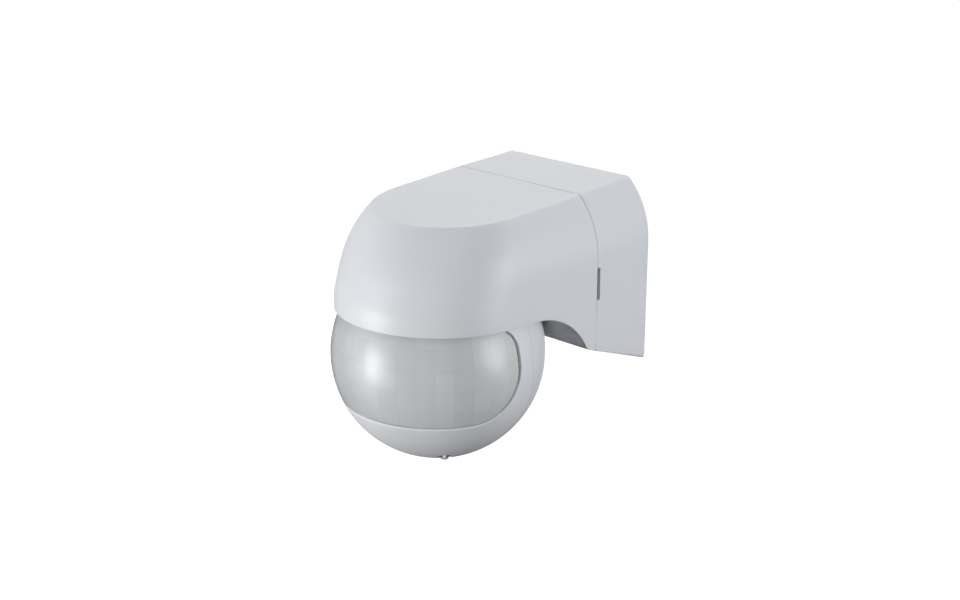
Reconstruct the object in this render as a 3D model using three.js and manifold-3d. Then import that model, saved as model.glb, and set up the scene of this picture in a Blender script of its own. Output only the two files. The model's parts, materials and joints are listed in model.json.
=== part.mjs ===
// Outdoor wall motion sensor: a wall base, a pull-off hood and a ball head that pans and tilts.
// Millimetres, +Z up. The origin is the centre of the base's back face; the wall is the plane
// y = 0 and the sensor stands out along -Y. The ball head is drawn about its own centre.

import * as THREE from 'three';
import { mergeVertices } from 'three/addons/utils/BufferGeometryUtils.js';
import Module from 'manifold-3d';

const wasm = await Module();
wasm.setup();

// ---------------------------------------------------------------- driving dimensions

const WIDTH = 65;                    // across the base
const BASE_HEIGHT = 57.2;            // of the back face
const BALL_RADIUS = 32;
const AXIS_Y = -58.6;                // the ball's vertical axis, out from the wall
const BALL_Z = -18.4;                // the ball's centre
const SEAM_Y = -24.3;                // joint between base and hood
const GAP = 0.3;                     // working clearance between neighbours

const HALF_WIDTH = WIDTH / 2;
const TOP_Z = BASE_HEIGHT / 2;
const BOTTOM_Z = -BASE_HEIGHT / 2;
const TOP_FALL = 0.046;              // the top face falls this much per mm away from the wall
const SHOULDER_RADIUS = 25;          // rounding from the sides to the top face
const SHOULDER_Z = 9.8;              // height of the rounding's centre at the wall
const SHOULDER_FALL = 0.017;         // ... and its fall per mm away from the wall
const SIDE_TAPER = 0.056;            // each hood side draws in this much per mm past the seam
const NOSE_LEAN_Z = 1;               // the nose leans back above this height
const NOSE_LEAN = 0.46;              // lean per mm of height
const NOSE_LEAN_EASE = 0.0056;       // easing of the lean per mm squared

const HOOD_EDGE_Z = -4.1;            // lower edge of the hood at the ball's axis
const HOOD_EDGE_SLOPE = 0.025;
const ARCH_Y = -49.9;                // round cut-out under the hood's sides
const ARCH_Z = -28.5;
const ARCH_RADIUS = 24.2;
const UNDERSIDE_SLOPE = 0.371;       // underside falls towards the wall

const WALL = 2.2;                    // moulded wall
const BACK_PLATE = 2.5;
const LIP = 3.7;                     // inset of the lapped joint's inner face
const LIP_FRONT_Y = -27.5;
const LIP_REAR_Y = -21.5;
const LIP_BOTTOM_Z = -16.9;
const LEDGE_Y = -19.4;               // ledge inside the base that carries the seal
const SLOT_WIDTH = 1;                // release slot on each side of the seam
const SLOT_Z = [-3.6, 6.4];

const RECESS_RADIUS = BALL_RADIUS + 0.5;
const DOME_RADIUS = RECESS_RADIUS + WALL;
const DOME_PAD_TOP = 35.4;           // flat on the dome, above the ball's centre
const DOME_PAD_RADIUS = 11;
const NECK_RADIUS = 5;
const NECK_BORE = 3;
const NECK_TOP = 39;
const CAP_RADIUS = 29.6;
const CAP_THICKNESS = 1.8;
const CAP_HALF_ANGLE = 21;
const NUT_RADIUS = 9.5;
const CABLE_RADIUS = 1.1;

const SHELL_INNER = 30;
const SHELL_SEAM = 8.1;              // plane between the two shells, behind the ball's axis
const LIP_INNER = 28.4;              // inside of the rear shell's lip
const POCKET_RADIUS = 31.2;          // seat of the lens inside the window's border
const LENS_RADIUS = 31.85;           // the lens stands up through the window, almost flush
const LENS_FLANGE = 30.9;            // outside of the flange behind the window's border
const LENS_THICKNESS = 0.5;
const LENS_MARGIN = 0.6;             // degrees between the window's border and the raised lens
const RETAINER_RADIUS = 29.7;
const RETAINER_THICKNESS = 1.3;
const WINDOW_HALF_AZIMUTH = 93.7;    // the window's sides, degrees from straight ahead
const WINDOW_LOW = -24.2;            // its lower and upper edges, degrees of latitude
const WINDOW_HIGH = 26.5;
const LOW_CORNER = 30;               // rounding of its corners, degrees
const HIGH_CORNER = 12.5;
const NECK_SLOT = [-24, 44];         // fore-and-aft slot in the ball's top, degrees from the top
const NECK_SLOT_HALF = 5.6;
const SCREW_X = 20;                  // screws that join the shells
const SCREW_Z = -18;
const SCREW_SEAT_Y = 11.6;
const SCREW_BORE = 1.4;

const WALL_SCREW = { x: 22, z: 8, radius: 2.3, slotReach: 1.5 };
const GROMMET_Z = -14;
const GROMMET_HOLE = 6;              // radius of the cable hole in the back plate
const GROMMET_BORE = 3.2;

const BOARD_THICKNESS = 1.6;
const POWER_BOARD_Y = -22;           // rear face of the power board
const POWER_BOARD_HALF = 24;
const POWER_BOARD_Z = [-13, 21];
const BOARD_BOSS = { x: 20, z: -8, radius: 3, length: 9.2 };
const TERMINAL_PITCH = 10;
const TERMINAL_FRONT_Y = -14;
const TERMINAL_WELL_Y = -7;          // rear end of the wells for pins and screws
const TERMINAL_Z = [2, 16];
const PIN_Z = 12.5;
const TERMINAL_SCREW_Z = 6.5;
const TERMINAL_SCREW_RADIUS = 1.8;

// Components on the power board: place on the board and how far each stands out from it.
const RELAY = { x: [-22, -2], z: [11, 21], depth: 15 };
const FILM_CAPACITOR = { x: [3, 21], z: [13, 21], depth: 12 };
const FILTER_CAPACITOR = { x: -17, z: 3, radius: 4, depth: 7 };
const VARISTOR = { x: [12.5, 16.5], z: 4.5, radius: 4.5 };
const FUSE = { x: [-3, 8], z: 6.5, radius: 1.9 };

const SENSOR_BOARD_Z = -13.1;        // top face of the level board in the head
const PYRO_BOARD_Y = 2;              // front face of the upright board
const PYRO_SENSOR = { radius: 4.1, rim: 4.6, rimHeight: 0.8, length: 4 };
const INDICATOR = { x: -9, z: 3 };
const LIGHT_SENSOR = { x: 9, z: 3, radius: 2.4, length: 2.7 };
const TRIMMER_HALF = 3.4;
const TRIMMER_HEIGHT = 4.4;
const KNOB_RADIUS = 1.5;
const KNOB_STEM = 1.2;               // radius of the stem inside the trimmer
const KNOB_HOLE = 2.3;
const KNOBS = [
  { name: 'time', x: -13.2, y: -10.7, low: -27.6 },
  { name: 'sensitivity', x: 0, y: 1, low: -31.9 },
  { name: 'light_level', x: 13.2, y: -10.7, low: -27.6 },
];

const DRIVE_SLOT = 0.6;              // width of the slots and crosses in screw heads
const FAR = 130;                     // beyond every face, for cutters
const FINE = 36;                     // segments of the large rounds
const SMALL = 16;                    // segments of the small rounds
const { degToRad, radToDeg } = THREE.MathUtils;

// ---------------------------------------------------------------- solids

// Turns a closed three.js geometry into a solid with its faces pointing out.
function solid(geometry) {
  const bare = geometry.clone();
  bare.deleteAttribute('normal');
  bare.deleteAttribute('uv');
  const merged = mergeVertices(bare);
  const points = merged.attributes.position.array;
  const corners = merged.index.array;
  const triangles = [];
  let volume = 0;
  for (let i = 0; i < corners.length; i += 3) {
    const [a, b, c] = corners.slice(i, i + 3);
    if (a === b || b === c || c === a) continue;
    triangles.push(a, b, c);
    const [p, q, r] = [a, b, c].map((n) => new THREE.Vector3().fromArray(points, 3 * n));
    volume += p.dot(q.cross(r));
  }
  if (volume < 0) triangles.reverse();
  return new wasm.Manifold(new wasm.Mesh({
    numProp: 3,
    vertProperties: new Float32Array(points),
    triVerts: new Uint32Array(triangles),
  }));
}

function box(x0, x1, y0, y1, z0, z1) {
  const geometry = new THREE.BoxGeometry(x1 - x0, y1 - y0, z1 - z0);
  geometry.translate((x0 + x1) / 2, (y0 + y1) / 2, (z0 + z1) / 2);
  return solid(geometry);
}

function ball(radius) {
  return solid(new THREE.SphereGeometry(radius, FINE, FINE / 2).rotateX(Math.PI / 2));
}

// Ball about the head's centre, in the sensor's frame.
function headBall(radius) {
  return ball(radius).translate([0, AXIS_Y, BALL_Z]);
}

function rodZ(x, y, z0, z1, radius, segments = SMALL) {
  const geometry = new THREE.CylinderGeometry(radius, radius, z1 - z0, segments);
  geometry.rotateX(Math.PI / 2).translate(x, y, (z0 + z1) / 2);
  return solid(geometry);
}

function rodY(x, y0, y1, z, radius, segments = SMALL) {
  const geometry = new THREE.CylinderGeometry(radius, radius, y1 - y0, segments);
  return solid(geometry.translate(x, (y0 + y1) / 2, z));
}

function rodX(x0, x1, y, z, radius, segments = SMALL) {
  const geometry = new THREE.CylinderGeometry(radius, radius, x1 - x0, segments);
  geometry.rotateZ(Math.PI / 2).translate((x0 + x1) / 2, y, z);
  return solid(geometry);
}

// Turned piece about Z from [radius, height] points.
function turned(profile, segments = SMALL) {
  const points = profile.map(([r, h]) => new THREE.Vector2(r, h));
  points.push(points[0].clone());
  return solid(new THREE.LatheGeometry(points, segments).rotateX(Math.PI / 2));
}

// Side-view outline in [y, z], pushed out to both sides of the centre plane.
function acrossX(outline, half) {
  const shape = new THREE.Shape(outline.map(([y, z]) => new THREE.Vector2(y, z)));
  const geometry = new THREE.ExtrudeGeometry(shape, { depth: 2 * half, bevelEnabled: false });
  geometry.translate(0, 0, -half);
  geometry.applyMatrix4(new THREE.Matrix4().makeBasis(
    new THREE.Vector3(0, 1, 0),
    new THREE.Vector3(0, 0, 1),
    new THREE.Vector3(1, 0, 0),
  ));
  return solid(geometry);
}

// Screw along Y with a crossed head that stands on its seat; the shank runs towards -Y.
function crossScrew(x, z, seat, head, shank) {
  const recessFloor = seat + 1;
  const arm = 0.63 * head.radius;
  const half = DRIVE_SLOT / 2;
  const above = seat + head.height + 1;
  return rodY(x, seat, seat + head.height, z, head.radius)
    .add(rodY(x, seat - shank.length, seat + GAP, z, shank.radius, 12))
    .subtract(box(x - arm, x + arm, recessFloor, above, z - half, z + half))
    .subtract(box(x - half, x + half, recessFloor, above, z - arm, z + arm));
}

// ---------------------------------------------------------------- the housing's surfaces

const topAt = (y) => TOP_Z + TOP_FALL * y;
const undersideAt = (y) => BOTTOM_Z - UNDERSIDE_SLOPE * y;
const hoodEdgeAt = (y) => HOOD_EDGE_Z - HOOD_EDGE_SLOPE * (y - AXIS_Y);
const shoulderZ = (y) => SHOULDER_Z + SHOULDER_FALL * y;
const halfWidthAt = (y) => HALF_WIDTH - SIDE_TAPER * Math.max(0, SEAM_Y - y);

// Half width of the housing at one place along it and one height.
function sideX(y, z) {
  const rise = Math.max(0, z - shoulderZ(y));
  return halfWidthAt(y) - SHOULDER_RADIUS + Math.sqrt(SHOULDER_RADIUS ** 2 - rise ** 2);
}

// How far the nose's centre stands behind the ball's axis at one height.
function noseLean(z) {
  const height = Math.max(0, z - NOSE_LEAN_Z);
  return NOSE_LEAN * height - NOSE_LEAN_EASE * height ** 2;
}

// Everything above the top face, lowered by the inset.
function aboveTop(inset) {
  return acrossX([
    [-FAR, topAt(-FAR) - inset],
    [FAR, topAt(FAR) - inset],
    [FAR, FAR],
    [-FAR, FAR],
  ], FAR);
}

// Everything below the hood's edge, the arch and the sloping underside, grown by the inset.
function belowUnderside(inset) {
  const raised = inset * Math.hypot(1, UNDERSIDE_SLOPE);
  const front = acrossX([
    [-FAR, hoodEdgeAt(-FAR) + inset],
    [-FAR, -FAR],
    [ARCH_Y, -FAR],
    [ARCH_Y, hoodEdgeAt(ARCH_Y) + inset],
  ], FAR);
  const rear = acrossX([
    [ARCH_Y, undersideAt(ARCH_Y) + raised],
    [ARCH_Y, -FAR],
    [FAR, -FAR],
    [FAR, undersideAt(FAR) + raised],
  ], FAR);
  const arch = rodX(-FAR, FAR, ARCH_Y, ARCH_Z, ARCH_RADIUS + inset, FINE);
  return front.add(rear).add(arch);
}

// The housing's cross-section between two places along it, inset from the outside all round.
function sectionSlab(inset, y0, y1) {
  const middle = Math.max((y0 + y1) / 2, SEAM_Y);
  const half = HALF_WIDTH - inset;
  const radius = SHOULDER_RADIUS - inset;
  const sweep = Math.asin(Math.min(1, (TOP_Z - shoulderZ(middle)) / radius));
  const shape = new THREE.Shape();
  shape.moveTo(half, BOTTOM_Z - 1);
  shape.lineTo(half, shoulderZ(middle));
  shape.absarc(half - radius, shoulderZ(middle), radius, 0, sweep, false);
  shape.absarc(radius - half, shoulderZ(middle), radius, Math.PI - sweep, Math.PI, false);
  shape.lineTo(-half, BOTTOM_Z - 1);
  const geometry = new THREE.ExtrudeGeometry(shape, {
    depth: y1 - y0,
    bevelEnabled: false,
    curveSegments: 6,
  });
  geometry.rotateX(Math.PI / 2).translate(0, y1, 0);
  return solid(geometry).subtract(aboveTop(inset)).subtract(belowUnderside(inset));
}

// The hood's full form with its rounded, leaning nose: a U in plan at every height.
function hoodForm(inset) {
  const shoulderSteps = 8;
  const shoulderLow = shoulderZ(AXIS_Y);
  const shoulderRise = TOP_Z + 1 - shoulderLow;
  const heights = [BOTTOM_Z, NOSE_LEAN_Z, (NOSE_LEAN_Z + shoulderLow) / 2];
  for (let i = 0; i <= shoulderSteps; i += 1) {
    heights.push(shoulderLow + shoulderRise * Math.sin((i / shoulderSteps) * Math.PI / 2));
  }
  const steps = heights.length - 1;
  const plan = new THREE.Shape();
  plan.moveTo(1, 1);
  plan.lineTo(1, 0);
  plan.absarc(0, 0, 1, 0, -Math.PI, true);
  plan.lineTo(-1, 1);
  const geometry = new THREE.ExtrudeGeometry(plan, {
    depth: 1,
    steps,
    bevelEnabled: false,
    curveSegments: 11,
  });
  const position = geometry.attributes.position;
  const rear = SEAM_Y - GAP / 2;
  for (let i = 0; i < position.count; i += 1) {
    const across = position.getX(i);
    const along = position.getY(i);
    const z = heights[Math.round(position.getZ(i) * steps)];
    const noseY = AXIS_Y + noseLean(z);
    const noseX = sideX(noseY, z) - inset;
    const rearX = sideX(rear, z) - inset;
    const taper = Math.atan((rearX - noseX) / (rear - noseY));
    if (along > 0.5) {
      position.setXYZ(i, Math.sign(across) * rearX, rear, z);
    } else {
      const atLeftEnd = across < 0 && along >= -1e-6;
      const angle = atLeftEnd ? -Math.PI : Math.min(0, Math.atan2(along, across));
      const swung = -taper + angle * (Math.PI - 2 * taper) / Math.PI;
      const radius = noseX * Math.cos(taper);
      position.setXYZ(i, radius * Math.cos(swung), noseY + radius * Math.sin(swung), z);
    }
  }
  return solid(geometry);
}

function releaseSlots() {
  const y0 = SEAM_Y - SLOT_WIDTH / 2;
  const reach = HALF_WIDTH - WALL - GAP;
  const right = box(reach, FAR, y0, y0 + SLOT_WIDTH, ...SLOT_Z);
  return right.add(box(-FAR, -reach, y0, y0 + SLOT_WIDTH, ...SLOT_Z));
}

// ---------------------------------------------------------------- materials

const finish = (color, roughness, metalness = 0) => ({ color, roughness, metalness });
const WHITE_PLASTIC = finish(0xd6d9da, 0.42);
const PALE_PLASTIC = finish(0xdfe2e4, 0.42);
const LENS_PLASTIC = finish(0xb4bcbb, 0.35);
const GREY_PLASTIC = finish(0x8c9094, 0.5);
const DARK_PLASTIC = finish(0x2c2e30, 0.5);
const BLUE_PLASTIC = finish(0x2f5f9e, 0.4);
const BOARD_GREEN = finish(0x2f6b45, 0.5);
const BOARD_TAN = finish(0xb89a5e, 0.6);
const RUBBER = finish(0x3a3c3e, 0.8);
const STEEL = finish(0xb9bdc0, 0.3, 1);
const BRASS = finish(0xc9a75a, 0.3, 1);
const FOIL_BLUE = finish(0x1e3a68, 0.4);
const FUSE_GLASS = finish(0xdfe8ea, 0.1);
const LED_RED = finish(0xb62a22, 0.3);

// ---------------------------------------------------------------- assembly

const sensor = new THREE.Group();
const head = new THREE.Group();
head.position.set(0, AXIS_Y, BALL_Z);
sensor.add(head);

function place(group, name, body, look) {
  const { vertProperties, triVerts } = body.getMesh();
  const geometry = new THREE.BufferGeometry();
  geometry.setAttribute('position', new THREE.BufferAttribute(new Float32Array(vertProperties), 3));
  geometry.setIndex(new THREE.BufferAttribute(new Uint32Array(triVerts), 1));
  geometry.computeVertexNormals();
  const mesh = new THREE.Mesh(geometry, new THREE.MeshStandardMaterial(look));
  mesh.name = name;
  group.add(mesh);
}

// ---------------------------------------------------------------- wall base and its fittings

function wallBase() {
  const front = SEAM_Y + GAP / 2;
  const cavity = sectionSlab(LIP, LEDGE_Y - 1, -BACK_PLATE)
    .add(sectionSlab(WALL, front - 5, LEDGE_Y));
  const inside = -BACK_PLATE - 1;
  const { x, z, radius, slotReach } = WALL_SCREW;
  const grommetHole = rodY(0, inside, 1, GROMMET_Z, GROMMET_HOLE);
  const screwHole = rodY(-x, inside, 1, z, radius);
  const screwSlot = rodY(x - slotReach, inside, 1, z, radius)
    .add(box(x - slotReach, x + slotReach, inside, 1, z - radius, z + radius))
    .add(rodY(x + slotReach, inside, 1, z, radius));
  return sectionSlab(0, front, 0)
    .subtract(cavity)
    .subtract(grommetHole)
    .subtract(screwHole)
    .subtract(screwSlot)
    .subtract(releaseSlots());
}

function terminalBlock() {
  const rear = -BACK_PLATE - GAP;
  const half = 1.5 * TERMINAL_PITCH;
  const front = TERMINAL_FRONT_Y - 1;
  const pinWell = { half: 1.7, rise: 0.9 };
  const wireHole = { y: -9.5, radius: 1.5 };
  let body = box(-half, half, TERMINAL_FRONT_Y, rear, ...TERMINAL_Z);
  for (const x of [-TERMINAL_PITCH, 0, TERMINAL_PITCH]) {
    const pinSlot = box(
      x - pinWell.half,
      x + pinWell.half,
      front,
      TERMINAL_WELL_Y,
      PIN_Z - pinWell.rise,
      PIN_Z + pinWell.rise,
    );
    body = body
      .subtract(pinSlot)
      .subtract(rodY(x, front, TERMINAL_WELL_Y, TERMINAL_SCREW_Z, TERMINAL_SCREW_RADIUS + GAP))
      .subtract(rodZ(x, wireHole.y, TERMINAL_Z[0] - 1, TERMINAL_SCREW_Z, wireHole.radius));
  }
  return body;
}

function terminalScrew(x) {
  const top = TERMINAL_FRONT_Y + 0.8;
  const slotFloor = top + 0.8;
  const half = DRIVE_SLOT / 2;
  const arm = TERMINAL_SCREW_RADIUS + 1;
  return rodY(x, top, TERMINAL_WELL_Y - 0.4, TERMINAL_SCREW_Z, TERMINAL_SCREW_RADIUS)
    .subtract(box(x - arm, x + arm, top - 1, slotFloor, TERMINAL_SCREW_Z - half, TERMINAL_SCREW_Z + half));
}

function cableGrommet() {
  const rearFace = 0.4;
  const plateTop = BACK_PLATE + GAP;
  const flangeTop = plateTop + 1.6;
  const flangeRadius = GROMMET_HOLE + 2;
  const profile = [
    [GROMMET_BORE, rearFace],
    [GROMMET_HOLE - GAP, rearFace],
    [GROMMET_HOLE - GAP, plateTop],
    [flangeRadius, plateTop],
    [flangeRadius, flangeTop],
    [GROMMET_BORE, flangeTop],
  ];
  return turned(profile, SMALL + 4).rotate([90, 0, 0]).translate([0, 0, GROMMET_Z]);
}

function hoodSeal() {
  const proud = 0.1;
  const y0 = LIP_REAR_Y + GAP;
  const y1 = LEDGE_Y - proud;
  return sectionSlab(WALL + GAP, y0, y1).subtract(sectionSlab(LIP - proud, y0 - 1, y1 + 1));
}

place(sensor, 'wall_base', wallBase(), WHITE_PLASTIC);
place(sensor, 'terminal_block', terminalBlock(), GREY_PLASTIC);
place(sensor, 'terminal_screw_live', terminalScrew(-TERMINAL_PITCH), STEEL);
place(sensor, 'terminal_screw_neutral', terminalScrew(0), STEEL);
place(sensor, 'terminal_screw_load', terminalScrew(TERMINAL_PITCH), STEEL);
place(sensor, 'cable_grommet', cableGrommet(), RUBBER);
place(sensor, 'hood_seal', hoodSeal(), RUBBER);

// ---------------------------------------------------------------- hood and its electronics

// Lip on the hood's rear edge that slides inside the base.
function hoodLip() {
  const aboveBottom = (z) => box(-FAR, FAR, -FAR, FAR, z, FAR);
  const outer = sectionSlab(WALL + GAP, LIP_FRONT_Y, LIP_REAR_Y).intersect(aboveBottom(LIP_BOTTOM_Z));
  const inner = sectionSlab(LIP, LIP_FRONT_Y - 1, LIP_REAR_Y + 1);
  return outer.subtract(inner.intersect(aboveBottom(LIP_BOTTOM_Z + LIP - WALL)));
}

function hood() {
  const behindLip = box(-FAR, FAR, LIP_FRONT_Y, FAR, -FAR, FAR);
  const mainCavity = hoodForm(WALL)
    .subtract(aboveTop(WALL))
    .subtract(belowUnderside(WALL))
    .subtract(behindLip);
  const rearCavity = sectionSlab(LIP, LIP_FRONT_Y - 1, SEAM_Y + 1);
  const cavity = mainCavity.add(rearCavity).subtract(headBall(DOME_RADIUS));
  const padLow = BALL_Z + RECESS_RADIUS - 2;
  const padTop = BALL_Z + DOME_PAD_TOP;
  const pad = rodZ(0, AXIS_Y, padLow, padTop, DOME_PAD_RADIUS, FINE);
  const neckHole = rodZ(0, AXIS_Y, padLow - 10, padTop + 1, NECK_RADIUS + 1, 24);
  const bossEnd = POWER_BOARD_Y - BOARD_THICKNESS - GAP;
  let body = hoodForm(0)
    .subtract(aboveTop(0))
    .subtract(belowUnderside(0))
    .subtract(cavity)
    .add(hoodLip())
    .add(pad);
  for (const side of [-1, 1]) {
    const x = side * BOARD_BOSS.x;
    body = body
      .add(rodY(x, bossEnd - BOARD_BOSS.length, bossEnd, BOARD_BOSS.z, BOARD_BOSS.radius))
      .subtract(rodY(x, bossEnd - BOARD_BOSS.length + 2, bossEnd + 1, BOARD_BOSS.z, SCREW_BORE));
  }
  return body
    .subtract(headBall(RECESS_RADIUS))
    .subtract(neckHole)
    .subtract(releaseSlots());
}

function powerBoard() {
  const front = POWER_BOARD_Y - BOARD_THICKNESS;
  let body = box(-POWER_BOARD_HALF, POWER_BOARD_HALF, front, POWER_BOARD_Y, ...POWER_BOARD_Z);
  for (const side of [-1, 1]) {
    const hole = rodY(side * BOARD_BOSS.x, front - 1, POWER_BOARD_Y + 1, BOARD_BOSS.z, SCREW_BORE + GAP);
    body = body.subtract(hole);
  }
  return body;
}

function boardScrew(side) {
  const head = { radius: 2.6, height: 1.6 };
  const shank = { radius: 1.1, length: 7 };
  return crossScrew(side * BOARD_BOSS.x, BOARD_BOSS.z, POWER_BOARD_Y + GAP, head, shank);
}

function contactPin(x) {
  const root = POWER_BOARD_Y + GAP;
  const blade = { half: 1.2, rise: 0.4, end: TERMINAL_WELL_Y - 1.3 };
  const foot = { half: 1.9, rise: 1.4, height: 1.2 };
  return box(x - blade.half, x + blade.half, root, blade.end, PIN_Z - blade.rise, PIN_Z + blade.rise)
    .add(box(x - foot.half, x + foot.half, root, root + foot.height, PIN_Z - foot.rise, PIN_Z + foot.rise));
}

const partsFace = POWER_BOARD_Y - BOARD_THICKNESS - GAP;

function boardBlock({ x, z, depth }) {
  return box(...x, partsFace - depth, partsFace, ...z);
}

// Round component lying on the board along X.
function boardBarrel({ x, z, radius }) {
  return rodX(...x, partsFace - GAP - radius, z, radius);
}

function filterCapacitor() {
  const { x, z, radius, depth } = FILTER_CAPACITOR;
  return rodY(x, partsFace - depth, partsFace, z, radius);
}

// Round cable along a curve.
function cable(points, radius) {
  const path = new THREE.CatmullRomCurve3(points.map((p) => new THREE.Vector3(...p)));
  const ring = new THREE.Shape().absarc(0, 0, radius, 0, 2 * Math.PI, false);
  const geometry = new THREE.ExtrudeGeometry(ring, {
    steps: 14,
    curveSegments: 5,
    extrudePath: path,
  });
  return solid(geometry);
}

place(sensor, 'hood', hood(), WHITE_PLASTIC);
place(sensor, 'power_board', powerBoard(), BOARD_TAN);
place(sensor, 'board_screw_left', boardScrew(-1), STEEL);
place(sensor, 'board_screw_right', boardScrew(1), STEEL);
place(sensor, 'contact_pin_live', contactPin(-TERMINAL_PITCH), BRASS);
place(sensor, 'contact_pin_neutral', contactPin(0), BRASS);
place(sensor, 'contact_pin_load', contactPin(TERMINAL_PITCH), BRASS);
place(sensor, 'relay', boardBlock(RELAY), BLUE_PLASTIC);
place(sensor, 'film_capacitor', boardBlock(FILM_CAPACITOR), DARK_PLASTIC);
place(sensor, 'filter_capacitor', filterCapacitor(), FOIL_BLUE);
place(sensor, 'varistor', boardBarrel(VARISTOR), BLUE_PLASTIC);
place(sensor, 'fuse', boardBarrel(FUSE), FUSE_GLASS);
const hoodCablePath = [[0, -57, 22], [0.3, -45, 22], [0.5, -32, 20.8], [0.5, partsFace - 0.2, 19]];
place(sensor, 'hood_cable', cable(hoodCablePath, CABLE_RADIUS), DARK_PLASTIC);

// ---------------------------------------------------------------- swivel, about the head's centre

// Points on a circle about the centre, by angle from the top, as [radius, height].
function capArc(radius, from, to, steps) {
  const points = [];
  for (let i = 0; i <= steps; i += 1) {
    const angle = from + ((to - from) * i) / steps;
    points.push([radius * Math.sin(angle), radius * Math.cos(angle)]);
  }
  return points;
}

function swivelNeck() {
  const inner = CAP_RADIUS - CAP_THICKNESS;
  const edge = degToRad(CAP_HALF_ANGLE);
  return turned([
    ...capArc(inner, Math.asin(NECK_BORE / inner), edge, 5),
    ...capArc(CAP_RADIUS, edge, Math.asin(NECK_RADIUS / CAP_RADIUS), 5),
    [NECK_RADIUS, NECK_TOP],
    [NECK_BORE, NECK_TOP],
  ], 32);
}

function washerRing(inner, outer, low, high) {
  return turned([[inner, low], [outer, low], [outer, high], [inner, high]], 32);
}

function retainingNut() {
  const notches = 6;
  const notchHalf = 1.2;
  const notchFloor = NUT_RADIUS - 1.2;
  const low = DOME_PAD_TOP + 1 + GAP;
  let body = washerRing(NECK_RADIUS + GAP, NUT_RADIUS, low, NECK_TOP - GAP);
  for (let i = 0; i < notches; i += 1) {
    const notch = box(notchFloor, NUT_RADIUS + 1, -notchHalf, notchHalf, low - 1, NECK_TOP + 1);
    body = body.subtract(notch.rotate([0, 0, (360 / notches) * i]));
  }
  return body;
}

const washer = washerRing(NECK_RADIUS + GAP, NUT_RADIUS + GAP, DOME_PAD_TOP + GAP, DOME_PAD_TOP + 1);
place(head, 'swivel_neck', swivelNeck(), PALE_PLASTIC);
place(head, 'friction_washer', washer, STEEL);
place(head, 'retaining_nut', retainingNut(), GREY_PLASTIC);
place(head, 'neck_cable', rodZ(0, 0, 12, NECK_TOP - 0.1, CABLE_RADIUS, 12), DARK_PLASTIC);

// ---------------------------------------------------------------- ball shells and lens

// Solid angle of the lens window seen from the centre, its border moved out by some degrees.
function windowCone(grow) {
  const reach = 60;
  const band = (from, to) => turned([
    [0, 0],
    [reach * Math.cos(degToRad(from)), reach * Math.sin(degToRad(from))],
    [reach, 0],
    [reach * Math.cos(degToRad(to)), reach * Math.sin(degToRad(to))],
  ], FINE);
  const fan = (half) => {
    const shape = new THREE.Shape();
    shape.moveTo(0, 0);
    const steps = 12;
    for (let i = 0; i <= steps; i += 1) {
      const angle = -Math.PI / 2 + degToRad(half) * ((2 * i) / steps - 1);
      shape.lineTo(2 * reach * Math.cos(angle), 2 * reach * Math.sin(angle));
    }
    const geometry = new THREE.ExtrudeGeometry(shape, { depth: 4 * reach, bevelEnabled: false });
    return solid(geometry.translate(0, 0, -2 * reach));
  };
  const cornerAt = (radius, latitude) => {
    const across = Math.asin(Math.sin(degToRad(radius)) / Math.cos(degToRad(latitude)));
    return { radius, latitude, azimuth: WINDOW_HALF_AZIMUTH - radToDeg(across) };
  };
  const low = cornerAt(LOW_CORNER, WINDOW_LOW + LOW_CORNER);
  const high = cornerAt(HIGH_CORNER, WINDOW_HIGH - HIGH_CORNER);
  let opening = band(WINDOW_LOW - grow, WINDOW_HIGH + grow)
    .intersect(fan(low.azimuth))
    .add(band(low.latitude, WINDOW_HIGH + grow).intersect(fan(high.azimuth)))
    .add(band(low.latitude, high.latitude).intersect(fan(WINDOW_HALF_AZIMUTH + grow)));
  for (const side of [-1, 1]) {
    for (const { radius, latitude, azimuth } of [low, high]) {
      const width = reach * Math.tan(degToRad(radius + grow));
      const cone = new THREE.ConeGeometry(width, reach, FINE / 2);
      cone.translate(0, -reach / 2, 0).rotateX(-degToRad(latitude)).rotateZ(side * degToRad(azimuth));
      opening = opening.add(solid(cone));
    }
  }
  return opening;
}

function shellBetween(outer, inner) {
  return ball(outer).subtract(ball(inner));
}

function neckSlot() {
  const points = [[0, 0]];
  const [from, to] = NECK_SLOT.map(degToRad);
  const steps = 6;
  for (let i = 0; i <= steps; i += 1) {
    const angle = from + ((to - from) * i) / steps;
    points.push([50 * Math.sin(angle), 50 * Math.cos(angle)]);
  }
  return acrossX(points, NECK_SLOT_HALF);
}

const frontHalf = box(-FAR, FAR, -FAR, SHELL_SEAM - GAP / 2, -FAR, FAR);
const rearHalf = box(-FAR, FAR, SHELL_SEAM + GAP / 2, FAR, -FAR, FAR);

function frontShell() {
  const pocketBorder = 3.2;
  const postRadius = 2.8;
  let body = shellBetween(BALL_RADIUS, SHELL_INNER).intersect(frontHalf);
  body = body.subtract(windowCone(0));
  body = body.subtract(windowCone(pocketBorder).intersect(ball(POCKET_RADIUS)));
  for (const side of [-1, 1]) {
    const post = rodY(side * SCREW_X, -12, SHELL_SEAM - GAP / 2, SCREW_Z, postRadius);
    body = body.add(post.intersect(ball(BALL_RADIUS - GAP)));
    body = body.subtract(rodY(side * SCREW_X, -1, SHELL_SEAM + 1, SCREW_Z, SCREW_BORE));
  }
  for (const { x, y } of KNOBS) {
    body = body.subtract(rodZ(x, y, -FAR, -20, KNOB_HOLE, 24));
  }
  return body.subtract(neckSlot());
}

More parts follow.
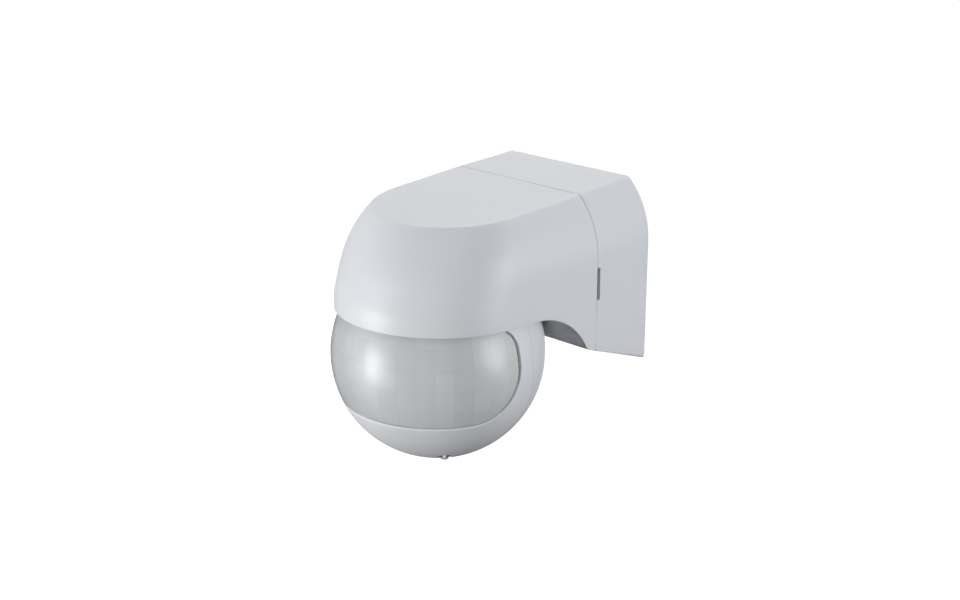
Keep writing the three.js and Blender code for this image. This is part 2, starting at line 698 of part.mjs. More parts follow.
function rearShell() {
  const front = SHELL_SEAM + GAP / 2;
  const lipFront = 5.5;
  const lipRear = 10.2;
  const slab = (y0, y1) => box(-FAR, FAR, y0, y1, -FAR, FAR);
  const aboveCap = box(-12.5, 12.5, 0, 20, 0, FAR);
  let lip = shellBetween(SHELL_INNER - 0.4, LIP_INNER).intersect(slab(lipFront, lipRear));
  const lipRoot = shellBetween(SHELL_INNER + 0.2, LIP_INNER).intersect(slab(front, lipRear));
  for (const side of [-1, 1]) {
    lip = lip.subtract(rodY(side * SCREW_X, 0, front, SCREW_Z, 3.2));
  }
  let body = shellBetween(BALL_RADIUS, SHELL_INNER)
    .intersect(rearHalf)
    .add(lip.subtract(aboveCap))
    .add(lipRoot.subtract(aboveCap));
  const post = { radius: 3.6, end: 16, counterbore: 2.7 };
  for (const side of [-1, 1]) {
    const x = side * SCREW_X;
    body = body
      .add(rodY(x, front, post.end, SCREW_Z, post.radius).intersect(ball(BALL_RADIUS - GAP)))
      .subtract(rodY(x, 0, SCREW_SEAT_Y, SCREW_Z, SCREW_BORE))
      .subtract(rodY(x, SCREW_SEAT_Y - GAP, FAR, SCREW_Z, post.counterbore));
  }
  return body.subtract(neckSlot());
}

function shellScrew(side) {
  const head = { radius: 2.3, height: 1.8 };
  const shank = { radius: 1, length: SCREW_SEAT_Y };
  return crossScrew(side * SCREW_X, SCREW_Z, SCREW_SEAT_Y, head, shank);
}

// Thin moulding, raised inside the window, with a flange that the retainer presses on.
function lens() {
  const flangeWidth = 2.6;
  const wallWidth = 0.9;
  const outside = ball(LENS_RADIUS)
    .intersect(windowCone(-LENS_MARGIN))
    .add(ball(LENS_FLANGE).intersect(windowCone(flangeWidth)));
  const inside = ball(LENS_RADIUS - LENS_THICKNESS)
    .intersect(windowCone(-LENS_MARGIN - wallWidth))
    .add(ball(LENS_FLANGE - LENS_THICKNESS));
  return outside.subtract(inside);
}

function lensRetainer() {
  return shellBetween(RETAINER_RADIUS, RETAINER_RADIUS - RETAINER_THICKNESS)
    .intersect(windowCone(3.4))
    .subtract(windowCone(0.4));
}

place(head, 'front_shell', frontShell(), PALE_PLASTIC);
place(head, 'rear_shell', rearShell(), PALE_PLASTIC);
place(head, 'fresnel_lens', lens(), LENS_PLASTIC);
place(head, 'lens_retainer', lensRetainer(), DARK_PLASTIC);
place(head, 'shell_screw_left', shellScrew(-1), STEEL);
place(head, 'shell_screw_right', shellScrew(1), STEEL);

// ---------------------------------------------------------------- sensing electronics in the head

const levelBoardLow = SENSOR_BOARD_Z - BOARD_THICKNESS;
const trimmerTop = levelBoardLow - GAP;
const trimmerLow = trimmerTop - TRIMMER_HEIGHT;
const uprightSeat = PYRO_BOARD_Y - GAP;

function pyroSensor() {
  const { radius, rim, rimHeight, length } = PYRO_SENSOR;
  return rodY(0, uprightSeat - length, uprightSeat, 0, radius, 24)
    .add(rodY(0, uprightSeat - rimHeight, uprightSeat, 0, rim, 24));
}

function pyroFilter() {
  const rear = uprightSeat - PYRO_SENSOR.length - GAP;
  return box(-2, 2, rear - 0.4, rear, -1.5, 1.5);
}

function lightSensor() {
  const { x, z, radius, length } = LIGHT_SENSOR;
  return rodY(x, uprightSeat - length, uprightSeat, z, radius);
}

function indicatorLed() {
  const rim = 1.9;
  const radius = 1.5;
  const tip = 4.5;
  const dome = [30, 60, 90].map(degToRad).map((angle) => new THREE.Vector2(
    radius * Math.cos(angle),
    tip - radius + radius * Math.sin(angle),
  ));
  dome[2].x = 0;
  const points = [[0, 0], [rim, 0], [rim, 0.8], [radius, 0.8], [radius, tip - radius]]
    .map(([r, h]) => new THREE.Vector2(r, h));
  const body = solid(new THREE.LatheGeometry([...points, ...dome], SMALL).rotateX(Math.PI));
  return body.translate([INDICATOR.x, uprightSeat, INDICATOR.z]);
}

function trimmer({ x, y }) {
  const half = TRIMMER_HALF;
  return box(x - half, x + half, y - half, y + half, trimmerLow, trimmerTop)
    .subtract(rodZ(x, y, trimmerLow - 1, trimmerTop - 1.4, KNOB_STEM + 0.4));
}

function knob({ x, y, low }) {
  const slot = { half: 0.4, depth: 0.9, reach: KNOB_RADIUS + 1 };
  return rodZ(x, y, low, trimmerLow - GAP, KNOB_RADIUS, 24)
    .add(rodZ(x, y, trimmerLow - 1, trimmerTop - 1.8, KNOB_STEM))
    .subtract(box(x - slot.reach, x + slot.reach, y - slot.half, y + slot.half, low - 1, low + slot.depth));
}

const sensorBoard = box(-17.5, 17.5, -17, 14, levelBoardLow, SENSOR_BOARD_Z);
const pyroBoard = box(-13, 13, PYRO_BOARD_Y, PYRO_BOARD_Y + BOARD_THICKNESS, SENSOR_BOARD_Z + GAP, 9);
place(head, 'sensor_board', sensorBoard, BOARD_GREEN);
place(head, 'pyro_board', pyroBoard, BOARD_GREEN);
place(head, 'pyro_sensor', pyroSensor(), STEEL);
place(head, 'pyro_filter', pyroFilter(), DARK_PLASTIC);
place(head, 'light_sensor', lightSensor(), BRASS);
place(head, 'indicator_led', indicatorLed(), LED_RED);
for (const adjuster of KNOBS) {
  place(head, `${adjuster.name}_trimmer`, trimmer(adjuster), BLUE_PLASTIC);
  place(head, `${adjuster.name}_knob`, knob(adjuster), PALE_PLASTIC);
}

export default sensor;
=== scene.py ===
"""Looks of an outdoor wall motion sensor: wall base, pull-off hood and a ball head with a frosted lens.

Lengths in the shape functions are millimetres in the row frame; meshes are scaled to metres
when they are made. The ball head is drawn about its own centre and moved into place.
"""

import json
import math

import bmesh
import bpy
import numpy as np
from mathutils import Matrix, Vector


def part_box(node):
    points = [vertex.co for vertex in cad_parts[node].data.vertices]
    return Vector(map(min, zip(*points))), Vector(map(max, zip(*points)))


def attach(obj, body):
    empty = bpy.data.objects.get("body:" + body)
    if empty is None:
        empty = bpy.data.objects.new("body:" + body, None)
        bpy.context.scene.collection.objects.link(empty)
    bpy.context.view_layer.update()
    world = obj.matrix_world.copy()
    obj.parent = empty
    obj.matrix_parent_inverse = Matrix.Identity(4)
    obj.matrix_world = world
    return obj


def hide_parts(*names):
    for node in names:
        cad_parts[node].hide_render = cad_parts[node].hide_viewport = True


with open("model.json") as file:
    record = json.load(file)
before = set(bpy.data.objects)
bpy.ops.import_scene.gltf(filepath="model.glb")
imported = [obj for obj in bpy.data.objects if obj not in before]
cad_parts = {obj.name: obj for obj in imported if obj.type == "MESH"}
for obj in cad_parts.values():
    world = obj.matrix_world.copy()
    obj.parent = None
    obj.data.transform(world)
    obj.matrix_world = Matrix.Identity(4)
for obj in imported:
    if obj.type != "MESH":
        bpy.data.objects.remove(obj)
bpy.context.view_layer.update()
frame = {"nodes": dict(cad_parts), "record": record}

MM = 0.001

# ---- driving dimensions, millimetres

LIP_GAP = 0.3  # between the hood's lip and the base
BALL_GAP = 0.12  # between the two halves of the ball
HOUSING_GAP = 0.25  # between the hood and the base, on top
SEAM_Y = -24.3
HOOD_REAR = SEAM_Y - HOUSING_GAP / 2
BASE_FRONT = SEAM_Y + HOUSING_GAP / 2
HALF_WIDTH = 32.5
TOP_Z = 28.6
BOTTOM_Z = -28.6
AXIS_Y = -58.6
BALL_Z = -18.4
BALL_RADIUS = 32.0
HEAD_CENTRE = np.array([0.0, AXIS_Y, BALL_Z])

TOP_FALL = 0.046
SHOULDER_RADIUS = 25.0
SHOULDER_Z = 9.8  # height where the side starts to curve in
SHOULDER_FALL = 0.017
SIDE_TAPER = 0.056
NOSE_LEAN_Z = 1.5  # height above which the nose leans back
NOSE_LEAN = 0.46
NOSE_LEAN_EASE = 0.0056
NOSE_LEAN_SOFT = 2.5
HOOD_EDGE_Z = -4.1
HOOD_EDGE_SLOPE = 0.025
ARCH_Y = -49.9
ARCH_Z = -28.5
ARCH_RADIUS = 24.2
ARCH_END_Y = -28.0
UNDERSIDE_SLOPE = 0.371

WALL = 2.2
LIP = 3.7  # how far the lip's inner side lies inside the skin
BACK_PLATE = 2.5
RECESS_RADIUS = BALL_RADIUS + 0.5
DOME_RADIUS = RECESS_RADIUS + WALL
SHELL_INNER = 30.0
SHELL_SEAM = 8.1


# ---- mesh helpers

def new_object(name, data):
    """Object with this mesh, lamp or camera, linked into the scene."""
    piece = bpy.data.objects.new(name, data)
    bpy.context.scene.collection.objects.link(piece)
    return piece


def object_from(name, points, faces):
    """Object in metres from millimetre points, doubles merged and faces turned outward."""
    mesh = bpy.data.meshes.new(name)
    mesh.from_pydata((np.reshape(points, (-1, 3)) * MM).tolist(), [], faces)
    tidy = bmesh.new()
    tidy.from_mesh(mesh)
    bmesh.ops.remove_doubles(tidy, verts=tidy.verts, dist=2e-6)
    bmesh.ops.dissolve_degenerate(tidy, edges=tidy.edges, dist=1e-7)
    bmesh.ops.recalc_face_normals(tidy, faces=tidy.faces)
    tidy.to_mesh(mesh)
    tidy.free()
    return new_object(name, mesh)


def grid_faces(count_r, count_c, wrap_rows=False, wrap_columns=False):
    """Corner numbers of the quads between the rows and columns of a grid of points."""
    faces = []
    for r in range(count_r if wrap_rows else count_r - 1):
        for c in range(count_c if wrap_columns else count_c - 1):
            r2 = (r + 1) % count_r
            c2 = (c + 1) % count_c
            faces.append((r * count_c + c, r * count_c + c2, r2 * count_c + c2, r2 * count_c + c))
    return faces


def grid(name, rows, wrap_rows=False, wrap_columns=False):
    """Object from an array of points [row, column, xyz], in millimetres."""
    return object_from(name, rows, grid_faces(*np.shape(rows)[:2], wrap_rows, wrap_columns))


def capped_loops(name, loops, close_end=True):
    """Object from a run of closed loops with a face across the start and, mostly, the end."""
    count_r, count_c = np.shape(loops)[:2]
    faces = grid_faces(count_r, count_c, wrap_columns=True)
    faces.append(tuple(range(count_c)))
    if close_end:
        faces.append(tuple(range((count_r - 1) * count_c, count_r * count_c)))
    return object_from(name, loops, faces)


def baked(piece):
    """Replaces the piece's mesh by what its modifiers give."""
    graph = bpy.context.evaluated_depsgraph_get()
    result = bpy.data.meshes.new_from_object(piece.evaluated_get(graph))
    old = piece.data
    piece.modifiers.clear()
    piece.data = result
    bpy.data.meshes.remove(old)
    return piece


def combine(piece, other, operation="DIFFERENCE"):
    """Cuts, joins or intersects the piece with another object, which is used up."""
    boolean = piece.modifiers.new("combine", "BOOLEAN")
    boolean.operation = operation
    boolean.solver = "EXACT"
    boolean.object = other
    baked(piece)
    bpy.data.objects.remove(other)
    return piece


def smooth(piece, angle=35):
    """Shades the piece smoothly, apart from its edges sharper than an angle in degrees."""
    piece.data.shade_smooth()
    piece.data.set_sharp_from_angle(angle=math.radians(angle))
    return piece


def lathe(name, profile, foot=(0, 0, 0), segments=64, phase=0.0):
    """Turned piece about Z from [radius, height] points, which start on the axis or form a ring."""
    turn = phase + np.linspace(0, 2 * math.pi, segments, endpoint=False)
    circle = np.stack([np.cos(turn), np.sin(turn), 0 * turn], 1)
    rows = [radius * circle + (0, 0, height) for radius, height in profile]
    if profile[0][0] > 0:
        rows.append(rows[0])
    return grid(name, np.array(rows) + foot, wrap_columns=True)


def rod(radius, low, high):
    """Profile of a plain cylinder."""
    return [(0, low), (radius, low), (radius, high), (0, high)]


def sphere(name, radius, centre):
    """Closed sphere with its poles on Z, turned a little so that no cutter meets it edge on edge."""
    angle = np.linspace(0, math.pi, 65)
    profile = np.stack([radius * np.sin(angle), -radius * np.cos(angle)], 1)
    return lathe(name, profile, centre, 128, 0.0113)


def block(name, low, high):
    """Axis-aligned cutter."""
    corners = [(x, y, z) for x in (low[0], high[0]) for y in (low[1], high[1]) for z in (low[2], high[2])]
    faces = [(0, 1, 3, 2), (4, 6, 7, 5), (0, 4, 5, 1), (2, 3, 7, 6), (0, 2, 6, 4), (1, 5, 7, 3)]
    return object_from(name, corners, faces)


def laid(piece, angle, axis, place):
    """Turns a lathed piece about one axis by an angle in degrees, and moves it into place."""
    piece.data.transform(Matrix.Rotation(math.radians(angle), 4, axis))
    piece.data.transform(Matrix.Translation(np.array(place) * MM))
    return piece


def along_x(piece, place):
    """Lays a lathed piece along +X."""
    return laid(piece, 90, "Y", place)


def along_y(piece, place):
    """Lays a lathed piece along +Y."""
    return laid(piece, -90, "X", place)


def joined(pieces):
    """One object that holds the meshes of all of them."""
    first = pieces[0]
    shape = bmesh.new()
    for piece in pieces:
        shape.from_mesh(piece.data)
    shape.to_mesh(first.data)
    shape.free()
    for piece in pieces[1:]:
        bpy.data.objects.remove(piece)
    return first


# ---- the housing's surfaces

def top_at(y, inset):
    """Height of the flat top, which falls a little towards the front."""
    return TOP_Z + TOP_FALL * y - inset


def under_at(y, inset):
    """Height of the hood's edge, the arch or the sloping underside at one place."""
    if y < ARCH_Y:
        return HOOD_EDGE_Z - HOOD_EDGE_SLOPE * (y - AXIS_Y) + inset
    slope = BOTTOM_Z - UNDERSIDE_SLOPE * y + inset * math.hypot(1, UNDERSIDE_SLOPE)
    reach = (ARCH_RADIUS + inset) ** 2 - (y - ARCH_Y) ** 2
    return max(slope, ARCH_Z + math.sqrt(reach)) if reach > 0 else slope


def side_x(y, z, inset):
    """Half width of the housing at one place along it and one height."""
    rise = max(0.0, z - SHOULDER_Z - SHOULDER_FALL * y)
    half = HALF_WIDTH - SIDE_TAPER * max(0.0, SEAM_Y - y)
    return half - SHOULDER_RADIUS + math.sqrt((SHOULDER_RADIUS - inset) ** 2 - rise ** 2)


def nose_lean(z):
    """How far the nose leans back at one height; the lean sets in softly."""
    above = z - NOSE_LEAN_Z
    height = (above + math.hypot(above, NOSE_LEAN_SOFT)) / 2
    return NOSE_LEAN * height - NOSE_LEAN_EASE * height ** 2


def hood_side(place, z, inset):
    """Point on the hood's right side at one height, and the plan direction pointing inward.

    place runs from 0 at the rear rim to 1 where the nose begins and 2 at the nose's tip.
    """
    nose_y = AXIS_Y + nose_lean(z)
    nose_x = side_x(nose_y, z, inset)
    rear_x = side_x(HOOD_REAR, z, inset)
    taper = math.atan((rear_x - nose_x) / (HOOD_REAR - nose_y))
    radius = nose_x * math.cos(taper)
    if place >= 1:
        angle = -taper - (place - 1) * (math.pi / 2 - taper)
        direction = np.array([math.cos(angle), math.sin(angle), 0.0])
        point = np.array([0.0, nose_y, z]) + radius * direction
        return point, -direction
    start = np.array([rear_x, HOOD_REAR, z])
    end = np.array([radius * math.cos(taper), nose_y - radius * math.sin(taper), z])
    return start + (end - start) * place, np.array([-1.0, 0.0, 0.0])


def settle(height_of, guess, place, inset):
    """Height on a column of the side where it meets another surface."""
    z = guess
    for _ in range(30):
        z = (z + height_of(hood_side(place, z, inset)[0][1], inset)) / 2
    return z


CREASE_ROUND = 0.75  # crease between the flat top and the side
FILLET_STEPS = 5
SIDE_ROWS = 30
ACROSS_STEPS = 12


def fillet(start, corner, end):
    """Points of a soft round from start to end, drawn to the corner."""
    t = np.linspace(0, 1, FILLET_STEPS + 1)[:, None]
    return (1 - t) ** 2 * start + 2 * t * (1 - t) * corner + t ** 2 * end


def across(point):
    """Points from the centre plane out to a point, all but the last."""
    t = np.linspace(0, 1, ACROSS_STEPS + 1)[:-1, None]
    centre = np.array([0.0, point[1], point[2]])
    return centre + (point - centre) * t


def full_loop(half):
    """Closed loop from its right half by mirroring."""
    return np.concatenate([half, half[1:-1][::-1] * (-1, 1, 1)])


def housing_loop(side, low, high, low_round):
    """Closed loop round the housing, made from its right half: bottom centre, side, top centre.

    side(z) gives a point of the side and its inward direction; low and high are its end heights.
    """
    corner_low, inward_low = side(low)
    corner_high, inward_high = side(high)
    low_start = corner_low + inward_low * low_round
    high_end = corner_high + inward_high * CREASE_ROUND
    flank = [side(z)[0] for z in np.linspace(low + low_round, high - CREASE_ROUND, SIDE_ROWS + 1)]
    return full_loop(np.concatenate([
        across(low_start),
        fillet(low_start, corner_low, flank[0]),
        np.array(flank[1:-1]),
        fillet(flank[-1], corner_high, high_end),
        across(high_end)[::-1],
    ]))


# ---- hood

EDGE_ROUND = 0.12  # lower edge of the side
REAR_EDGE_ROUND = 1.1  # the same edge at the wall
RIM_ROUND = 0.15  # rims that face the seam
BACK_ROUND = 0.8  # edge that lies against the wall
SLOT_WIDTH = 1.3
SLOT_SHIFT = 0.5
SLOT_DEPTH = 7.0
SLOT_LOW = -3.6
SLOT_HIGH = 6.4
LIP_FRONT = -27.4
LIP_REAR = -21.5
LIP_OUTER_LOW = -16.9
LIP_INNER_LOW = -15.4
PAD_RADIUS = 11.0  # flat that the swivel's washer rests on
PAD_TOP = 35.4  # above the ball's centre
NECK_HOLE_RADIUS = 6.0
BOSS_X = 20.0
BOSS_Z = -8.0
BOSS_RADIUS = 3.0
BOSS_REAR = -23.9
BOSS_LENGTH = 10.1
BOSS_BORE_RADIUS = 1.4
BOSS_BORE_DEPTH = 7.0


def hood_loop(place, inset=0.0):
    """Closed loop round the hood at one place along it, inset all round."""
    low = settle(under_at, HOOD_EDGE_Z, place, inset)
    high = settle(top_at, TOP_Z - 3, place, inset)

    def side(z):
        return hood_side(place, z, inset)

    return housing_loop(side, low, high, EDGE_ROUND)


def hood_places():
    """Places along the hood, closer together at the rim and the arch's end."""
    side_steps = 40
    nose_steps = 46
    arch_end = (HOOD_REAR - ARCH_END_Y) / (HOOD_REAR - AXIS_Y)
    near = np.linspace(0, arch_end, 5)
    along = arch_end + (1 - arch_end) * np.linspace(0, 1, side_steps)[1:]
    nose = np.linspace(1, 2, nose_steps)[1:]
    return np.concatenate([near, along, nose])


def shifted(loop, distance):
    """The loop moved along +Y."""
    return loop + (0, distance, 0)


def rim_turns(radius=RIM_ROUND):
    """Inset and set-back of the loops that round a rim, from the skin to the rim's face."""
    turns = np.linspace(0, math.pi / 2, 4)[1:]
    return [(radius * (1 - math.cos(turn)), radius * (1 - math.sin(turn))) for turn in turns]


def hood_cup():
    """Outer skin, rear rim and inner skin of the hood as one closed sheet."""
    places = hood_places()
    loops = [hood_loop(place) for place in places[::-1]]
    loops[-1] = shifted(loops[-1], -RIM_ROUND)
    loops += [shifted(hood_loop(0.0, inset), -set_back) for inset, set_back in rim_turns()]
    loops += [hood_loop(place, WALL) for place in places]
    return grid("hood_cover", loops, wrap_columns=True)


def section_loop(y, inset, low=None):
    """Closed loop round the straight part of the housing at one place, inset all round."""
    bottom = under_at(y, inset) if low is None else low

    def side(z):
        return np.array([side_x(y, z, inset), y, z]), np.array([-1.0, 0.0, 0.0])

    low_round = np.interp(y, (BASE_FRONT, 0), (EDGE_ROUND, REAR_EDGE_ROUND))
    return housing_loop(side, bottom, top_at(y, inset), low_round)


def hood_dome():
    """Skin over the ball inside the hood, with the flat that the swivel's washer rests on."""
    dome = sphere("dome", DOME_RADIUS, HEAD_CENTRE)
    profile = [(0, 25), (PAD_RADIUS, 25), (PAD_RADIUS, PAD_TOP - 0.3), (PAD_RADIUS - 0.3, PAD_TOP)]
    combine(dome, lathe("pad", profile + [(0, PAD_TOP)], HEAD_CENTRE, phase=0.021), "UNION")
    # The hood's shape, a little inside its skin, keeps the dome from showing outside.
    loops = [hood_loop(place, 0.6) for place in hood_places()]
    loops[0] = shifted(loops[0], -0.7)
    inside = capped_loops("inside", loops, close_end=False)
    return combine(dome, inside, "INTERSECT")


def release_slots():
    """Cutter for the release slot on each side of the seam."""
    front = SEAM_Y + SLOT_SHIFT - SLOT_WIDTH / 2
    slots = []
    for side in (-1, 1):
        x = sorted((side * (HALF_WIDTH - SLOT_DEPTH), side * (HALF_WIDTH + 5)))
        slots.append(block("slot", (x[0], front, SLOT_LOW), (x[1], front + SLOT_WIDTH, SLOT_HIGH)))
    return joined(slots)


def hood_lip():
    """Lip of the hood that slides inside the base."""
    ys = np.linspace(LIP_FRONT, LIP_REAR, 6)
    outer = [section_loop(y, WALL + LIP_GAP, LIP_OUTER_LOW) for y in ys]
    inner = [section_loop(y, LIP, LIP_INNER_LOW) for y in ys[::-1]]
    return grid("hood_lip", outer + inner, wrap_rows=True, wrap_columns=True)


def board_boss(side):
    """Boss with a blind bore for one of the power board's screws."""
    front = BOSS_REAR - BOSS_LENGTH
    floor = BOSS_REAR - BOSS_BORE_DEPTH
    profile = [(0, front), (BOSS_RADIUS, front), (BOSS_RADIUS, BOSS_REAR)]
    profile += [(BOSS_BORE_RADIUS, BOSS_REAR), (BOSS_BORE_RADIUS, floor), (0, floor)]
    return along_y(lathe("boss", profile), (side * BOSS_X, 0, BOSS_Z))


def build_hood():
    """Cover with its dome, lip and bosses, less the ball's recess, the neck's hole and the slots."""
    hood = hood_cup()
    for added in (hood_dome(), hood_lip(), board_boss(-1), board_boss(1)):
        combine(hood, added, "UNION")
    combine(hood, sphere("recess", RECESS_RADIUS, HEAD_CENTRE))
    combine(hood, lathe("neck_hole", rod(NECK_HOLE_RADIUS, 20, 37), HEAD_CENTRE, phase=0.037))
    combine(hood, release_slots())
    return smooth(hood)


# ---- wall base

LEDGE_Y = -19.4  # where the wall grows thicker, behind the lip
SEAM_HEIGHTS = (-6.0, -3.0, 22.0, 26.0)
SEAM_CLOSING = (0.21, 0.13, 0.13, 0.0)  # how much narrower the seam is at these heights
CABLE_HOLE_Z = -14.0
CABLE_HOLE_RADIUS = 6.0
SCREW_X = 22.0
SCREW_Z = 8.0
SCREW_HOLE_RADIUS = 2.3
SCREW_PLAY = 1.5  # how far the slot on the right reaches to either side


def closed_up(loop):
    """Rim loop of the base, moved nearer to the hood where the seam is narrower."""
    distance = np.interp(loop[:, 2], SEAM_HEIGHTS, SEAM_CLOSING)
    return loop - np.outer(distance, (0, 1, 0))


def build_base():
    """Box open to the front, with its cable hole, round screw hole, screw slot and release slots."""
    back = [section_loop(-set_back, inset) for inset, set_back in rim_turns(BACK_ROUND)[::-1]]
    outer = [section_loop(y, 0.0) for y in np.linspace(-BACK_ROUND, BASE_FRONT + RIM_ROUND, 14)]
    outer[-1] = closed_up(outer[-1])
    rim = [closed_up(section_loop(BASE_FRONT + set_back, inset)) for inset, set_back in rim_turns()]
    inner = [section_loop(y, WALL) for y in np.linspace(BASE_FRONT, LEDGE_Y, 5)]
    inner[0] = closed_up(inner[0])
    deep = [section_loop(y, LIP) for y in np.linspace(LEDGE_Y, -BACK_PLATE, 8)]
    base = capped_loops("base_cover", back + outer + rim + inner + deep)
    through = BACK_PLATE + 1
    holes = [(0.0, CABLE_HOLE_Z, CABLE_HOLE_RADIUS)]
    for x in (-SCREW_X, SCREW_X - SCREW_PLAY, SCREW_X + SCREW_PLAY):
        holes.append((x, SCREW_Z, SCREW_HOLE_RADIUS))
    for x, z, radius in holes:
        combine(base, laid(lathe("hole", rod(radius, -1, through)), 90, "X", (x, 0, z)))
    low = (SCREW_X - SCREW_PLAY, -through, SCREW_Z - SCREW_HOLE_RADIUS)
    high = (SCREW_X + SCREW_PLAY, 1, SCREW_Z + SCREW_HOLE_RADIUS)
    combine(base, block("slot", low, high))
    combine(base, release_slots())
    return smooth(base)


# ---- ball head

WINDOW_HALF_AZIMUTH = 93.7
WINDOW_LOW = -24.2
WINDOW_HIGH = 27.7
LOW_CORNER = 30.0
HIGH_CORNER = 13.7
WINDOW_ROUND = 0.9  # degrees over which the window's border is rounded
WINDOW_ROUND_DEPTH = 0.5
POCKET_RADIUS = 31.2
POCKET_GROW = 3.2  # degrees that the pocket behind the window reaches past it
SHELL_EDGE_ROUND = 0.12
LENS_RADIUS = 31.85
LENS_FLANGE = 30.9
LENS_THICKNESS = 0.5
LENS_MARGIN = 0.6
LENS_SIDE_GAP = 1.4


def toward(azimuth, latitude):
    """Unit direction from the ball's centre; azimuth 0 looks along -Y and grows to the right."""
    a = np.radians(azimuth)
    b = np.radians(latitude)
    return np.stack([np.sin(a) * np.cos(b), -np.cos(a) * np.cos(b), np.sin(b) + 0 * a], -1)


def corner_centre(radius, latitude):
    """Azimuth of a window corner's centre, so that its round just reaches the window's side."""
    across = math.asin(math.sin(math.radians(radius)) / math.cos(math.radians(latitude)))
    return WINDOW_HALF_AZIMUTH - math.degrees(across)


LOW_CENTRE = (corner_centre(LOW_CORNER, WINDOW_LOW + LOW_CORNER), WINDOW_LOW + LOW_CORNER)
HIGH_CENTRE = (corner_centre(HIGH_CORNER, WINDOW_HIGH - HIGH_CORNER), WINDOW_HIGH - HIGH_CORNER)


def window_border(grow=0.0):
    """Directions round the lens window, its border moved out by some degrees."""
    edge_steps = 40
    corner_steps = 20

    def corner(place, radius, start, end):
        centre = toward(*place)
        east = toward(place[0] + 90, 0)
        north = np.cross(centre, east)
        turn = np.radians(np.linspace(start, end, corner_steps + 1))[:, None]
        reach = math.radians(radius + grow)
        return centre * math.cos(reach) + (east * np.cos(turn) - north * np.sin(turn)) * math.sin(reach)

    bottom = toward(np.linspace(0, LOW_CENTRE[0], edge_steps + 1)[:-1], WINDOW_LOW - grow)
    low = corner(LOW_CENTRE, LOW_CORNER, 90, 0)
    high = corner(HIGH_CENTRE, HIGH_CORNER, 0, -90)
    side = low[-1] + (high[0] - low[-1]) * np.linspace(0, 1, 7)[1:-1, None]
    side /= np.linalg.norm(side, axis=1, keepdims=True)
    top = toward(np.linspace(HIGH_CENTRE[0], 0, edge_steps + 1)[1:], WINDOW_HIGH + grow)
    return full_loop(np.concatenate([bottom, low, side, high, top]))


def corner_latitude(azimuth, place, radius, sign):
    """Latitude where a meridian crosses a window corner's round, on its lower or upper side."""
    latitude = math.radians(place[1])
    a = math.sin(latitude)
    b = math.cos(latitude) * np.cos(np.radians(azimuth - place[0]))
    share = np.clip(math.cos(math.radians(radius)) / np.hypot(a, b), -1, 1)
    return np.degrees(np.arctan2(a, b) + sign * np.arccos(share))


def seam_ring(border, radius, y):
    """Points of the shell's seam plane at one radius, each at its border point's turn."""
    turn = np.arctan2(border[:, 2], border[:, 0])
    reach = math.sqrt(radius ** 2 - y ** 2)
    return np.stack([reach * np.cos(turn), np.full(len(turn), y), reach * np.sin(turn)], 1)


def slerp(start, end, share):
    """Directions part of the way from one set of unit directions to another."""
    angle = np.arccos(np.clip((start * end).sum(1), -1, 1))[:, None]
    return (np.sin((1 - share) * angle) * start + np.sin(share * angle) * end) / np.sin(angle)


def front_shell_sheet():
    """Front half of the ball with the window's rounded border, as one closed ring of rows."""
    seam = SHELL_SEAM - BALL_GAP / 2
    rows = []
    for t in np.linspace(1, 0, 6):
        radius = BALL_RADIUS - WINDOW_ROUND_DEPTH * t ** 2
        rows.append(window_border(WINDOW_ROUND * (1 - t) ** 2) * radius)
    outer_start = window_border(WINDOW_ROUND)
    outer_end = seam_ring(outer_start, BALL_RADIUS, seam - SHELL_EDGE_ROUND)
    steps = 34
    for i in range(1, steps + 1):
        rows.append(slerp(outer_start, outer_end / BALL_RADIUS, i / steps) * BALL_RADIUS)
    for inset, set_back in rim_turns(SHELL_EDGE_ROUND):
        rows.append(seam_ring(outer_start, BALL_RADIUS - inset, seam - set_back))
    rows.append(seam_ring(outer_start, SHELL_INNER, seam))
    inner_start = window_border(POCKET_GROW)
    inner_end = seam_ring(outer_start, SHELL_INNER, seam) / SHELL_INNER
    for i in range(steps - 1, -1, -2):
        rows.append(slerp(inner_start, inner_end, i / steps) * SHELL_INNER)
    rows += [inner_start * SHELL_INNER, inner_start * POCKET_RADIUS, window_border() * POCKET_RADIUS]
    return grid("head_front", np.array(rows) + HEAD_CENTRE, wrap_rows=True, wrap_columns=True)


NECK_SLOT_HALF = 5.6
NECK_SLOT_ANGLES = (-24, 44)  # degrees from straight up, towards the wall


def neck_slot():
    """Cutter for the fore-and-aft slot in the ball's top."""
    reach = BALL_RADIUS + 18
    angles = np.radians(np.linspace(*NECK_SLOT_ANGLES, 9))
    outline = [(0.0, 5.0)] + [(reach * math.sin(a), reach * math.cos(a)) for a in angles]
    sides = (-NECK_SLOT_HALF, NECK_SLOT_HALF)
    return capped_loops("neck_slot", [[(x, AXIS_Y + y, BALL_Z + z) for y, z in outline] for x in sides])


# Each adjuster: its name, and its tip's x, y and height from the ball's centre.
KNOBS = (
    ("time", -13.2, -10.7, -27.6),
    ("sensitivity", 0.0, 1.0, -31.9),
    ("light_level", 13.2, -10.7, -27.6),
)
KNOB_RADIUS = 1.5
KNOB_HOLE = 2.3


def build_front_shell():
    """Front half of the ball with the adjusters' holes and the neck's slot."""
    shell = front_shell_sheet()
    for _, x, y, _ in KNOBS:
        place = HEAD_CENTRE + (x, y, 0)
        combine(shell, lathe("hole", rod(KNOB_HOLE, -40, -20), place, 48, phase=0.02))
    combine(shell, neck_slot())
    return smooth(shell)


SHELL_SCREW_X = 20.0
SHELL_SCREW_Z = -18.0
SHELL_SCREW_BORE = 1.4
SHELL_SCREW_HEAD_BORE = 2.7
SHELL_SCREW_SEAT = 11.3  # behind the ball's centre


